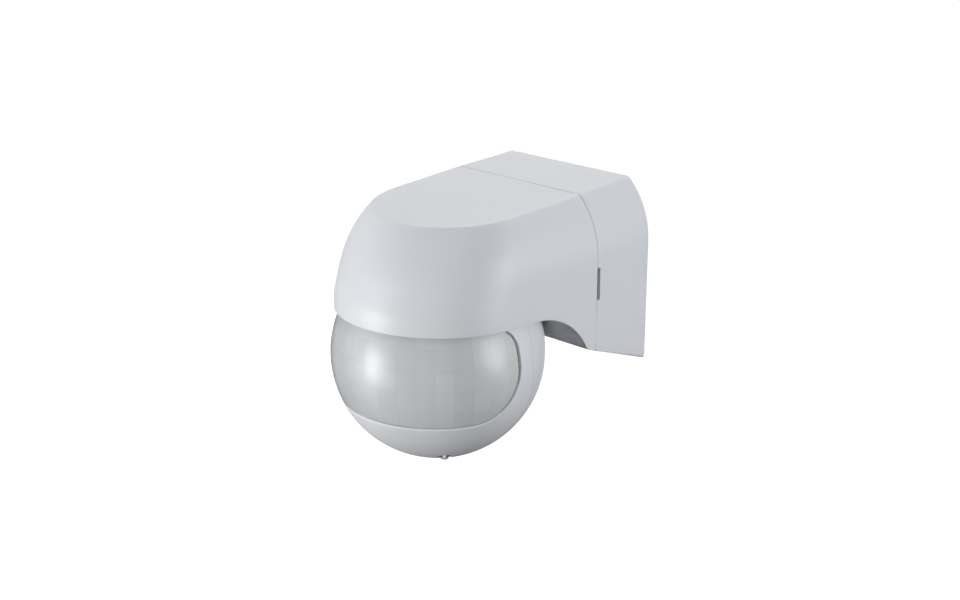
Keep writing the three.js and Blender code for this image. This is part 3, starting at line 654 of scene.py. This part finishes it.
def build_rear_shell():
    """Rear half of the ball with two stepped screw bores and the neck's slot."""
    seam = SHELL_SEAM + BALL_GAP / 2
    profile = []
    for inset, set_back in rim_turns(SHELL_EDGE_ROUND)[::-1]:
        y = seam + set_back
        profile.append((math.sqrt((BALL_RADIUS - inset) ** 2 - y ** 2), y))
    start = math.asin((seam + SHELL_EDGE_ROUND) / BALL_RADIUS)
    for angle in np.linspace(start, math.pi / 2, 40):
        profile.append((BALL_RADIUS * math.cos(angle), BALL_RADIUS * math.sin(angle)))
    for angle in np.linspace(math.pi / 2, math.asin(seam / SHELL_INNER), 24):
        profile.append((SHELL_INNER * math.cos(angle), SHELL_INNER * math.sin(angle)))
    shell = along_y(lathe("head_rear", profile, segments=144), HEAD_CENTRE)
    bore_profile = [(0, 4), (SHELL_SCREW_BORE, 4), (SHELL_SCREW_BORE, SHELL_SCREW_SEAT)]
    bore_profile += [(SHELL_SCREW_HEAD_BORE, SHELL_SCREW_SEAT), (SHELL_SCREW_HEAD_BORE, 30), (0, 30)]
    for side in (-1, 1):
        place = HEAD_CENTRE + (side * SHELL_SCREW_X, 0, SHELL_SCREW_Z)
        combine(shell, along_y(lathe("bore", bore_profile), place))
    combine(shell, neck_slot())
    return smooth(shell)


CELL_AZIMUTH = 10.15  # width and height of a lens cell, in degrees
CELL_LATITUDE = 11.65
CELL_AZIMUTH_START = 43.8  # one corner that four cells share
CELL_LATITUDE_START = -2.4
LENSLET_RISE = 0.14
LENS_ROWS = 60


def lens_columns():
    """Azimuths of the lens's columns, closer together towards the window's rounded sides."""
    even = np.linspace(0, LOW_CENTRE[0], 76)
    turn = np.linspace(0, math.pi / 2, 46)[1:]
    rounded = LOW_CENTRE[0] + (WINDOW_HALF_AZIMUTH - LOW_CENTRE[0]) * np.sin(turn)
    right = np.concatenate([even, rounded])
    return np.concatenate([-right[:0:-1], right])


def lens_field(grow):
    """Azimuth and latitude of a grid that fills the window, its border moved out by some degrees.

    Inside the window the grid also stops a little short of the two sides, less so near top and bottom.
    """
    azimuth = lens_columns() * (WINDOW_HALF_AZIMUTH + grow) / WINDOW_HALF_AZIMUTH
    aside = np.abs(azimuth)
    low_round = corner_latitude(aside, LOW_CENTRE, LOW_CORNER + grow, -1)
    high_round = corner_latitude(aside, HIGH_CENTRE, HIGH_CORNER + grow, 1)
    low = np.where(aside < LOW_CENTRE[0], WINDOW_LOW - grow, low_round)
    high = np.where(aside < HIGH_CENTRE[0], WINDOW_HIGH + grow, high_round)
    latitude = low + (high - low) * np.linspace(0, 1, LENS_ROWS + 1)[:, None]
    if grow < 0:
        heights = (WINDOW_LOW, LOW_CENTRE[1], HIGH_CENTRE[1], WINDOW_HIGH)
        side_gap = LENS_SIDE_GAP * np.interp(latitude, heights, (0.4, 1.0, 1.0, 0.2))
        azimuth = azimuth * (1 - side_gap / WINDOW_HALF_AZIMUTH)
    return np.broadcast_to(azimuth, latitude.shape), latitude


def around(field):
    """Entries round the border of a grid."""
    return np.concatenate([field[0], field[1:-1, -1], field[-1][::-1], field[1:-1, 0][::-1]])


def lens_rim(grow):
    """Directions round the border of the lens's grid."""
    return around(toward(*lens_field(grow)))


def lenslets(azimuth, latitude):
    """Rise of the small lenses moulded on the inside, one to each cell."""
    across = ((azimuth - CELL_AZIMUTH_START) / CELL_AZIMUTH) % 1.0 - 0.5
    up = ((latitude - CELL_LATITUDE_START) / CELL_LATITUDE) % 1.0 - 0.5
    return LENSLET_RISE * np.clip(1 - 4 * across ** 2, 0, 1) * np.clip(1 - 4 * up ** 2, 0, 1)


def build_lens():
    """Thin frosted lens, raised through the window, with a flange behind the window's border."""
    margin = -LENS_MARGIN
    inner = LENS_RADIUS - LENS_THICKNESS
    face = toward(*lens_field(margin - 0.3)) * LENS_RADIUS
    back_field = lens_field(margin - 0.9)
    back = toward(*back_field) * (inner - lenslets(*back_field))[..., None]
    rings = [
        lens_rim(margin - 0.09) * (LENS_RADIUS - 0.04),
        lens_rim(margin) * (LENS_RADIUS - 0.15),
        lens_rim(margin) * LENS_FLANGE,
        lens_rim(2.5) * LENS_FLANGE,
        lens_rim(2.6) * (LENS_FLANGE - 0.1),
        lens_rim(2.6) * (LENS_FLANGE - LENS_THICKNESS),
        lens_rim(margin - 0.9) * (LENS_FLANGE - LENS_THICKNESS),
    ]
    size = face[..., 0].size
    rim = around(np.arange(size).reshape(face.shape[:2]))
    count = len(rim)
    faces = grid_faces(*face.shape[:2])
    faces += [tuple(size + corner for corner in corners) for corners in faces]
    loops = [rim] + [2 * size + k * count + np.arange(count) for k in range(len(rings))] + [rim + size]
    for one, two in zip(loops[:-1], loops[1:]):
        for i in range(count):
            j = (i + 1) % count
            faces.append((int(one[i]), int(one[j]), int(two[j]), int(two[i])))
    points = np.concatenate([face.reshape(-1, 3), back.reshape(-1, 3)] + rings) + HEAD_CENTRE
    return smooth(object_from("lens_window", points, faces), 40)


def build_knob(name, x, y, low):
    """Adjuster with a small rounded tip on a thin stem and a screwdriver slot across the tip."""
    tip = KNOB_RADIUS * 0.8
    stem = KNOB_RADIUS * 0.35
    profile = [(0, low), (tip - 0.3, low), (tip - 0.08, low + 0.07), (tip, low + 0.2)]
    profile += [(tip, low + 0.34), (stem, low + 0.5), (stem, -22), (KNOB_RADIUS, -21.5)]
    profile += [(KNOB_RADIUS, -19.8), (0, -19.8)]
    knob = lathe(name + "_adjuster", profile, HEAD_CENTRE + (x, y, 0), 36)
    centre = HEAD_CENTRE + (x, y, low)
    slot = block("slot", centre + (-3, -0.25, -1), centre + (3, 0.25, 0.25))
    return smooth(combine(knob, slot))


def build_hole_shade_sleeves():
    """Dark sleeves of rubber that line the adjusters' holes, trimmed just below the ball's skin: painted
    shade inside the holes.
    """
    outer = KNOB_HOLE - 0.02
    inner = KNOB_HOLE - 0.4
    profile = [(inner, -33), (outer, -33), (outer, -21), (inner, -21)]
    shade_sleeves = []
    for _, x, y, _ in KNOBS:
        shade_sleeve = lathe("adjuster_hole_shade", profile, HEAD_CENTRE + (x, y, 0), 48, phase=0.02)
        shade_sleeves.append(combine(shade_sleeve, sphere("skin", BALL_RADIUS - 0.3, HEAD_CENTRE), "INTERSECT"))
    return smooth(joined(shade_sleeves))


# ---- parts inside the housing

POWER_BOARD_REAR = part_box("power_board")[1].y / MM
PIN_X = 10.0
PIN_Z = 12.5
BOARD_TRACK_DEPTH = 0.04

# Each copper track on the rear of the power board: its width, then its corners as (x, z).
TRACKS = (
    (1.8, ((-PIN_X, PIN_Z), (-PIN_X, 9.0), (-7.5, 6.5), (-2.0, 6.5))),
    (1.8, ((7.0, 6.5), (11.0, 6.5), (12.0, 7.5), (14.5, 7.5))),
    (1.8, ((0.0, PIN_Z), (0.0, 10.5), (2.5, 8.0), (2.5, 3.5), (4.5, 1.5), (14.5, 1.5))),
    (1.8, ((PIN_X, PIN_Z), (17.0, PIN_Z), (19.5, 15.0), (19.5, 17.0))),
    (1.4, ((-4.5, 18.8), (2.7, 18.8), (4.5, 17.0))),
    (1.0, ((-19.5, 13.2), (-19.5, 5.0), (-18.3, 3.8), (-18.3, 3.0))),
    (1.0, ((-15.7, 3.0), (-15.7, -2.0), (-11.7, -6.0), (-3.0, -6.0))),
    (1.4, ((-12.0, 18.8), (-12.0, 14.5), (-PIN_X, PIN_Z))),
    (1.0, ((17.5, 1.0), (17.5, -2.0), (13.5, -6.0), (3.0, -6.0))),
)


def softened(node, width):
    """Copy of a CAD node with its sharp edges rounded off."""
    mesh = frame["nodes"][node].data.copy()
    shape = bmesh.new()
    shape.from_mesh(mesh)
    bmesh.ops.remove_doubles(shape, verts=shape.verts, dist=0.002 * MM)
    edges, verts = shape.edges[:], shape.verts[:]
    bmesh.ops.dissolve_limit(shape, angle_limit=math.radians(1.5), verts=verts, edges=edges)
    shape.to_mesh(mesh)
    shape.free()
    piece = new_object(node + "_detail", mesh)
    bevel = piece.modifiers.new("bevel", "BEVEL")
    bevel.width = width * MM
    bevel.segments = 2
    bevel.limit_method = "ANGLE"
    bevel.angle_limit = math.radians(40)
    return smooth(baked(piece), 40)


def ribbon(corners, width, y, depth):
    """Closed flat strip along some corners in the board's plane, its bends mitred."""
    points = np.array(corners)
    steps = np.diff(points, axis=0)
    steps /= np.linalg.norm(steps, axis=1, keepdims=True)
    sides = np.stack([-steps[:, 1], steps[:, 0]], 1)
    bends = np.concatenate([sides[:1], (sides[:-1] + sides[1:]) / 2, sides[-1:]])
    offsets = bends / (bends ** 2).sum(1, keepdims=True) * width / 2
    outline = np.concatenate([points + offsets, (points - offsets)[::-1]])
    return [[(x, level, z) for x, z in outline] for level in (y, y + depth)]


def build_tracks():
    """Copper tracks on the rear of the power board."""
    tracks = []
    for width, corners in TRACKS:
        loops = ribbon(corners, width, POWER_BOARD_REAR, BOARD_TRACK_DEPTH)
        tracks.append(capped_loops("power_board_tracks", loops))
    return joined(tracks)


def build_solder():
    """Solder cones round the component legs at the ends of the tracks."""
    ends = [corners[i] for _, corners in TRACKS for i in (0, -1)]
    pins = [(-PIN_X, PIN_Z), (0.0, PIN_Z), (PIN_X, PIN_Z)]
    legs = [place for place in dict.fromkeys(ends) if place not in pins]
    profile = [(0, 0), (1.15, 0), (1.0, 0.12), (0.6, 0.3), (0.42, 0.6), (0.36, 0.95), (0.2, 1.05), (0, 1.05)]
    cones = []
    for x, z in legs:
        cone = lathe("power_board_solder", profile, segments=20)
        cones.append(along_y(cone, (x, POWER_BOARD_REAR + BOARD_TRACK_DEPTH, z)))
    return smooth(joined(cones))


def box_mm(node):
    """Low and high corner of a CAD node, in millimetres."""
    low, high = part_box(node)
    return np.array(low) / MM, np.array(high) / MM


def build_fuse():
    """Glass tube, two metal caps and the thin wire of the fuse."""
    low, high = box_mm("fuse")
    length = high[0] - low[0]
    radius = (high[2] - low[2]) / 2
    place = (low[0], (low[1] + high[1]) / 2, (low[2] + high[2]) / 2)
    cap = 0.22 * length
    wall = 0.2
    outer = radius - wall
    bore = outer - 0.4
    tube_profile = [(bore, wall), (outer, wall), (outer, length - wall), (bore, length - wall)]
    tube = along_x(lathe("fuse_tube", tube_profile, segments=40), place)
    cup = [(0, 0), (radius - 0.15, 0), (radius, 0.15), (radius, cap), (outer + 0.03, cap)]
    cup += [(outer + 0.03, wall - 0.05), (0, wall - 0.05)]
    caps = []
    for profile in (cup, [(r, length - z) for r, z in cup[::-1]]):
        caps.append(along_x(lathe("fuse_caps", profile, segments=40), place))
    wire = along_x(lathe("fuse_wire", rod(0.09, wall, length - wall), segments=12), place)
    return smooth(tube), smooth(joined(caps)), smooth(wire)


def build_capacitor():
    """Can in a shrunk sleeve, with a crimped groove and a bare scored top."""
    low, high = box_mm("filter_capacitor")
    length = high[1] - low[1]
    radius = (high[2] - low[2]) / 2
    place = ((low[0] + high[0]) / 2, low[1], (low[2] + high[2]) / 2)
    top = radius - 0.75
    sleeve_profile = [(0, 0.45), (top, 0.45), (top, 0.1), (top + 0.15, 0), (radius - 0.3, 0), (radius, 0.35)]
    groove = length - 1.6
    for turn in np.linspace(-math.pi / 2, math.pi / 2, 7):
        sleeve_profile.append((radius - 0.35 * math.cos(turn), groove + 0.55 * math.sin(turn)))
    sleeve_profile += [(radius, length - 0.3), (radius - 0.3, length), (0, length)]
    sleeve = along_y(lathe("capacitor_sleeve", sleeve_profile, segments=48), place)
    can_profile = [(0, 0.08), (top - 0.15, 0.08), (top - 0.03, 0.2), (top - 0.03, 0.42), (0, 0.42)]
    can = along_y(lathe("capacitor_top", can_profile, segments=48), place)
    centre = np.array(place)
    for reach in ((1.9, 0.12), (0.12, 1.9)):
        cut = np.array([reach[0], 0.2, reach[1]])
        combine(can, block("score", centre - cut, centre + cut))
    return smooth(sleeve), smooth(can)


# Words in the names of the CAD pieces whose edges are softened, by the width of the soft edge.
SOFT_EDGES = {
    0.08: ("pyro_filter",),
    0.12: ("terminal_screw", "power_board"),
    0.15: ("board_screw", "contact_pin", "friction_washer", "shell_screw"),
    0.2: ("indicator_led",),
    0.25: ("terminal_block", "pyro_sensor", "light_sensor"),
    0.3: ("cable_grommet", "retaining_nut", "trimmer"),
    0.4: ("relay",),
    0.6: ("film_capacitor",),
    1.2: ("varistor",),
}


# ---- materials

def feed(socket, value):
    """Gives an input a value, or links the output of another node into it."""
    if isinstance(value, bpy.types.NodeSocket):
        socket.id_data.links.new(value, socket)
    else:
        socket.default_value = value


def fill(node, **inputs):
    """Gives several of a node's inputs their values or links."""
    for name, value in inputs.items():
        feed(node.inputs[name.replace("_", " ")], value)


def add_node(tree, kind, settings=(), **inputs):
    """Shader node of one kind, with its settings and its inputs given."""
    node = tree.nodes.new("ShaderNode" + kind)
    for name, value in dict(settings).items():
        setattr(node, name, value)
    fill(node, **inputs)
    return node


def calculate(operation, first, *others, kind="Math"):
    """Output of a math node on a node's output and on other outputs or numbers, in the same tree."""
    node = add_node(first.id_data, kind, {"operation": operation})
    for socket, value in zip(node.inputs, (first, *others)):
        feed(socket, value)
    return node.outputs[0]


def remap(value, low, high, start=0.0, end=1.0):
    """Goes from low to high while the value goes from start to end."""
    inputs = {"Value": value, "From_Min": start, "From_Max": end, "To_Min": low, "To_Max": high}
    return add_node(value.id_data, "MapRange", **inputs).outputs["Result"]


def object_place(tree, stretch=None):
    """Place on the piece in metres, which moves with it; stretch scales it along each axis."""
    place = add_node(tree, "TexCoord").outputs["Object"]
    if stretch is None:
        return place
    return calculate("MULTIPLY", place, stretch, kind="VectorMath")


def noise(place, scale, detail=2.0):
    """Soft random pattern from 0 to 1; a larger scale makes it finer."""
    return add_node(place.id_data, "TexNoise", Vector=place, Scale=scale, Detail=detail).outputs["Fac"]


def blend_color(share, color1, color2):
    """Goes from the first colour to the second while the share goes from 0 to 1."""
    inputs = {"Fac": share, "Color1": (*color1, 1), "Color2": (*color2, 1)}
    return add_node(share.id_data, "MixRGB", **inputs).outputs["Color"]


def tint(shader, share, color1, color2):
    """Base colour between two colours."""
    fill(shader, Base_Color=blend_color(share, color1, color2))


def sheen(shader, share, low, high):
    """Roughness between two values."""
    fill(shader, Roughness=remap(share, low, high))


def scaled(color, factor):
    """Brighter or darker colour."""
    return tuple(c * factor for c in color)


def new_material(name, color, roughness, **inputs):
    """Material with its node tree and its shader."""
    material = bpy.data.materials.new(name)
    material.use_nodes = True
    shader = material.node_tree.nodes["Principled BSDF"]
    fill(shader, Base_Color=(*color, 1), Roughness=roughness, **inputs)
    return material, material.node_tree, shader


def raise_by(shader, height, depth, strength=0.35):
    """Bump from a height of 0 to 1, times a depth in millimetres."""
    bump = add_node(shader.id_data, "Bump", Strength=strength, Distance=depth * MM, Height=height)
    fill(shader, Normal=bump.outputs["Normal"])


def moulded_plastic(name, color, roughness, grain=0.012, drift=0.008):
    """Satin moulded plastic: spark-eroded grain, faint colour drift and uneven sheen."""
    glow = {"Subsurface_Weight": 0.2, "Subsurface_Radius": (1, 1, 1), "Subsurface_Scale": 0.8 * MM}
    material, tree, shader = new_material(name, color, roughness, **glow)
    place = object_place(tree)
    raise_by(shader, noise(place, 3800, 3.0), grain)
    slow = noise(place, 60)
    sheen(shader, slow, roughness - 0.04, roughness + 0.04)
    tint(shader, slow, scaled(color, 1 - drift), color)
    return material


def cell_place(angle, start, size):
    """An angle counted in lens cells."""
    moved = calculate("SUBTRACT", angle, math.radians(start))
    return calculate("DIVIDE", moved, math.radians(size))


def near_border(place):
    """1 on the line between two cells, and 0 soon beside it."""
    within = calculate("FRACT", place)
    aside = calculate("ABSOLUTE", calculate("SUBTRACT", within, 0.5))
    return remap(aside, 0.0, 1.0, 0.42, 0.5)


def frosted_lens(name, color, painted_right_color):
    """Milky lens: moulded cells of slightly different tone and sheen, faint lines between them, a painted
    warmer tint on its right side and painted shade where it turns away from the camera.
    """
    glow = {"Subsurface_Weight": 0.6, "Subsurface_Radius": (1, 1, 1), "Subsurface_Scale": 1.5 * MM}
    material, tree, shader = new_material(name, color, 0.4, Specular_IOR_Level=0.4, **glow)
    centre = tuple(HEAD_CENTRE * MM)
    from_centre = calculate("SUBTRACT", object_place(tree), centre, kind="VectorMath")
    direction = calculate("NORMALIZE", from_centre, kind="VectorMath")
    x, y, z = add_node(tree, "SeparateXYZ", Vector=direction).outputs
    azimuth = calculate("ARCTAN2", x, calculate("MULTIPLY", y, -1.0))
    latitude = calculate("ARCSINE", z)
    across = cell_place(azimuth, CELL_AZIMUTH_START, CELL_AZIMUTH)
    up = cell_place(latitude, CELL_LATITUDE_START, CELL_LATITUDE)
    column = calculate("FLOOR", across)
    row = calculate("FLOOR", up)
    column_tone = add_node(tree, "TexWhiteNoise", {"noise_dimensions": "1D"}, W=column).outputs["Value"]
    cell = add_node(tree, "CombineXYZ", X=column, Y=row).outputs["Vector"]
    cell_tone = add_node(tree, "TexWhiteNoise", {"noise_dimensions": "2D"}, Vector=cell).outputs["Value"]
    tone = calculate("MULTIPLY_ADD", column_tone, 0.65, calculate("MULTIPLY", cell_tone, 0.35))
    line = calculate("MAXIMUM", near_border(across), near_border(up))
    tone = calculate("SUBTRACT", tone, calculate("MULTIPLY", line, 0.3))
    # Painted light: a warmer tint towards the right side. Painted shade: darker where the lens turns away
    # from the camera.
    right_side_painted_tint = remap(azimuth, 0.0, 1.0, math.radians(40), math.radians(85))
    milk_and_painted_tint = blend_color(right_side_painted_tint, color, painted_right_color)
    shade = calculate("MULTIPLY_ADD", tone, 0.11, 0.94)
    # Painted shade in the base colour, growing as the lens turns away from the camera.
    facing = add_node(tree, "LayerWeight", Blend=0.5).outputs["Facing"]
    shade = calculate("MULTIPLY", shade, remap(facing, 1.0, 0.84, 0.36, 0.55))
    shade = calculate("MULTIPLY", shade, remap(facing, 1.0, 0.5, 0.76, 0.95))
    fill(shader, Base_Color=calculate("MULTIPLY", milk_and_painted_tint, shade, kind="VectorMath"))
    sheen(shader, cell_tone, 0.29, 0.38)
    raise_by(shader, calculate("MULTIPLY_ADD", line, -0.6, tone), 0.004, 0.2)
    return material


def plated_metal(name, color, roughness):
    """Plated or drawn metal with fine scratches along one way and cloudy patches."""
    material, tree, shader = new_material(name, color, roughness, Metallic=1.0)
    scratches = noise(object_place(tree, (1.0, 1.0, 12.0)), 900, 3.0)
    clouds = noise(object_place(tree), 260)
    wear = calculate("MULTIPLY_ADD", scratches, 0.6, calculate("MULTIPLY", clouds, 0.4))
    sheen(shader, wear, roughness - 0.12, roughness + 0.14)
    tint(shader, clouds, scaled(color, 0.82), color)
    raise_by(shader, scratches, 0.004, 0.25)
    return material


def rubbery(name, color, roughness):
    """Rubber or a soft cable jacket, dusty in its pores and rubbed smoother in places."""
    material, tree, shader = new_material(name, color, roughness)
    place = object_place(tree)
    rubbed = noise(place, 420, 4.0)
    sheen(shader, rubbed, roughness - 0.12, roughness + 0.1)
    tint(shader, rubbed, color, scaled(color, 1.7))
    raise_by(shader, noise(place, 2600), 0.02)
    return material


def lacquered(name, color, roughness=0.22):
    """Glossy epoxy or sleeve: slight orange peel and a thin clear coat."""
    material, tree, shader = new_material(name, color, roughness, Coat_Weight=0.4)
    place = object_place(tree)
    raise_by(shader, noise(place, 700), 0.03, 0.15)
    tint(shader, noise(place, 240), scaled(color, 0.8), scaled(color, 1.15))
    return material


def solder_mask(name, color, trace_color):
    """Lacquered circuit board; the copper tracks under the lacquer show as lighter lines."""
    material, tree, shader = new_material(name, color, 0.28, Coat_Weight=0.3)
    place = object_place(tree)
    tracks = add_node(tree, "TexBrick", {"offset": 0.35}, Vector=place, Scale=260, Mortar_Size=0.09)
    broken = remap(noise(place, 160), 0.0, 1.0, 0.42, 0.5)
    seen = calculate("MULTIPLY", tracks.outputs["Fac"], broken)
    tint(shader, seen, color, trace_color)
    raise_by(shader, seen, 0.035, 0.4)
    return material


def laminate(name, color):
    """Bare board: two crossing threads of glass under brownish resin."""
    material, tree, shader = new_material(name, color, 0.42)
    place = object_place(tree)
    threads = []
    for axis in ("X", "Z"):
        wave = add_node(tree, "TexWave", {"bands_direction": axis}, Vector=place, Scale=620, Distortion=0.6)
        threads.append(wave.outputs["Fac"])
    weave = calculate("MULTIPLY", *threads)
    patches = calculate("MULTIPLY", noise(place, 120), 0.5)
    resin = calculate("MULTIPLY_ADD", weave, 0.5, patches)
    tint(shader, resin, scaled(color, 0.78), scaled(color, 1.12))
    raise_by(shader, weave, 0.02, 0.3)
    return material


def clear_glass(name):
    """Glass tube with a faint film of dust that breaks its shine."""
    material, tree, shader = new_material(name, (0.93, 0.97, 0.96), 0.06, Transmission_Weight=0.9, IOR=1.47)
    sheen(shader, noise(object_place(tree), 500, 3.0), 0.02, 0.14)
    return material


def tinted_epoxy(name, color):
    """Coloured see-through epoxy of a lamp, a little cloudy."""
    material, tree, shader = new_material(name, color, 0.15, Transmission_Weight=0.45, IOR=1.5)
    tint(shader, noise(object_place(tree), 380), scaled(color, 0.7), color)
    return material


# Function, material slot, and then what that function takes: colours, roughness, grain, drift.
COATS = (
    (moulded_plastic, "housing_plastic", (0.72, 0.735, 0.76), 0.47),
    (moulded_plastic, "shell_plastic", (0.74, 0.755, 0.78), 0.46),
    # The lens's second colour is the painted warmer tint of its right side.
    (frosted_lens, "lens_plastic", (0.635, 0.66, 0.68), (0.655, 0.655, 0.65)),
    (moulded_plastic, "grey_plastic", (0.21, 0.23, 0.25), 0.48, 0.02, 0.06),
    (moulded_plastic, "dark_plastic", (0.03, 0.03, 0.034), 0.42, 0.02, 0.2),
    (lacquered, "blue_plastic", (0.03, 0.09, 0.28)),
    (lacquered, "sleeve_blue", (0.012, 0.03, 0.09), 0.3),
    (solder_mask, "sensor_board", (0.012, 0.10, 0.04), (0.03, 0.20, 0.07)),
    (laminate, "power_board", (0.36, 0.22, 0.07)),
    (rubbery, "rubber", (0.03, 0.03, 0.032), 0.68),
    (plated_metal, "steel", (0.62, 0.63, 0.65), 0.3),
    (plated_metal, "brass", (0.78, 0.56, 0.22), 0.28),
    (clear_glass, "fuse_glass"),
    (tinted_epoxy, "led_red", (0.55, 0.02, 0.015)),
)
SLOT_MATERIALS = {name: kind(name, *settings) for kind, name, *settings in COATS}
CABLE_JACKET = rubbery("cable_jacket", (0.028, 0.028, 0.03), 0.55)
SPECIAL = {"hood_cable": CABLE_JACKET, "neck_cable": CABLE_JACKET}


# ---- pieces on their bodies

BODIES = frame["record"]["behaviour"]["bodies"]
BODY_OF = {node: body for body, nodes in BODIES.items() for node in nodes}
SLOT_OF = {entry["node"]: entry["material_slot"] for entry in frame["record"]["subparts"]}


def paint(piece, material):
    """Gives the whole piece one material."""
    piece.data.materials.clear()
    piece.data.materials.append(material)


def coat_of(node):
    """Material of a CAD node."""
    return SPECIAL.get(node, SLOT_MATERIALS[SLOT_OF[node]])


def add_to(body, piece, slot, material=None):
    """Puts a piece on a body, beside the CAD nodes."""
    paint(piece, material or SLOT_MATERIALS[slot])
    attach(piece, body)


def stand_for(node, piece):
    """The piece takes the place of a CAD node: its body, its slot and its material."""
    add_to(BODY_OF[node], piece, SLOT_OF[node], coat_of(node))
    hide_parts(node)


for cad_node in SLOT_OF:
    paint(frame["nodes"][cad_node], coat_of(cad_node))
stand_for("hood", build_hood())
stand_for("wall_base", build_base())
stand_for("front_shell", build_front_shell())
stand_for("rear_shell", build_rear_shell())
stand_for("fresnel_lens", build_lens())
for knob in KNOBS:
    stand_for(knob[0] + "_knob", build_knob(*knob))
for edge_width, families in SOFT_EDGES.items():
    for cad_node in SLOT_OF:
        if any(words in cad_node for words in families):
            stand_for(cad_node, softened(cad_node, edge_width))

fuse_tube, fuse_caps, fuse_wire = build_fuse()
stand_for("fuse", fuse_tube)
add_to("hood", fuse_caps, "steel")
add_to("hood", fuse_wire, "steel")
capacitor_sleeve, capacitor_top = build_capacitor()
stand_for("filter_capacitor", capacitor_sleeve)
add_to("hood", capacitor_top, "steel")
# Dark sleeves in the adjusters' holes: painted shade.
add_to("head", build_hole_shade_sleeves(), "rubber")
add_to("hood", build_tracks(), "brass", plated_metal("copper_track", (0.62, 0.34, 0.17), 0.35))
add_to("hood", build_solder(), "steel", plated_metal("solder", (0.72, 0.73, 0.75), 0.32))


# ---- stage, light and camera

def build_stage():
    """White floor that gives no light to the object and isn't mirrored in it."""
    mesh = bpy.data.meshes.new("floor")
    size = 40.0
    level = -0.45
    corners = [(-size, -size, level), (size, -size, level), (size, size, level), (-size, size, level)]
    mesh.from_pydata(corners, [], [(0, 1, 2, 3)])
    floor = new_object("floor", mesh)
    glow = {"Emission_Color": (1, 1, 1, 1), "Emission_Strength": 1.0}
    paint(floor, new_material("floor_white", (1, 1, 1), 1.0, **glow)[0])
    floor.visible_diffuse = False
    floor.visible_glossy = False


def build_world():
    """White backdrop for the camera and a faint even fill for everything else."""
    world = bpy.data.worlds.new("studio")
    bpy.context.scene.world = world
    world.use_nodes = True
    tree = world.node_tree
    tree.nodes.clear()
    seen = add_node(tree, "Background", Color=(1, 1, 1, 1), Strength=1.2)
    faint = add_node(tree, "Background", Color=(0.92, 0.96, 1.0, 1), Strength=0.045)
    path = add_node(tree, "LightPath")
    mix = add_node(tree, "MixShader", Fac=path.outputs["Is Camera Ray"])
    feed(mix.inputs[1], faint.outputs["Background"])
    feed(mix.inputs[2], seen.outputs["Background"])
    add_node(tree, "OutputWorld", Surface=mix.outputs["Shader"])


LIGHT_TARGET = Vector((0, -0.05, -0.01))

# Name, azimuth and elevation in degrees (azimuth 0 is straight in front, 90 is to the right, +X),
# distance, width and height in metres, power in watts, colour.
SOFTBOXES = (
    ("softbox_left", -23, -6, 0.8, 0.28, 0.40, 6.2, (1.0, 1.0, 1.0)),
    ("softbox_right", 105, 5, 0.8, 0.20, 0.40, 3.5, (1.0, 0.98, 0.97)),
    ("wall_right", 130, 10, 0.9, 0.60, 0.80, 1.4, (0.66, 0.82, 1.0)),
    ("wall_front", 42, -2, 0.9, 0.50, 0.30, 0.3, (1.0, 0.99, 0.98)),
    ("ceiling_front", 45, 55, 0.8, 0.50, 0.50, 1.3, (0.90, 0.95, 1.0)),
    ("ceiling_back", 225, 55, 0.8, 0.60, 0.60, 4.75, (1.0, 0.995, 0.98)),
    ("fill_behind", 222, -8, 0.9, 0.60, 0.60, 4.5, (1.0, 0.99, 0.98)),
)


def softbox(name, azimuth, elevation, distance, width, height, power, color):
    """Rectangular lamp that looks at the object's middle."""
    data = bpy.data.lights.new(name, "AREA")
    data.shape = "RECTANGLE"
    data.size = width
    data.size_y = height
    data.energy = power
    data.color = color
    lamp = new_object(name, data)
    away = Vector(toward(azimuth, elevation))
    lamp.location = LIGHT_TARGET + away * distance
    lamp.rotation_euler = (-away).to_track_quat("-Z", "Y").to_euler()


# Place in metres, direction of view, and lens and sensor in millimetres.
CAMERA_PLACE = (0.3098, -0.3638, 0.1467)
CAMERA_LOOK = (-0.6543, 0.6828, -0.3249)
FOCAL_LENGTH = 58.58
SENSOR_WIDTH = 36.0


def build_camera():
    """Camera at the photo's place: to the right of the object, in front of it and above it."""
    data = bpy.data.cameras.new("camera")
    data.lens = FOCAL_LENGTH
    data.sensor_width = SENSOR_WIDTH
    data.clip_start = 0.01
    data.clip_end = 200
    camera = new_object("camera", data)
    camera.location = CAMERA_PLACE
    camera.rotation_euler = Vector(CAMERA_LOOK).to_track_quat("-Z", "Y").to_euler()
    bpy.context.scene.camera = camera


build_stage()
build_world()
for lamp_settings in SOFTBOXES:
    softbox(*lamp_settings)
build_camera()
bpy.context.scene.view_settings.view_transform = "Standard"
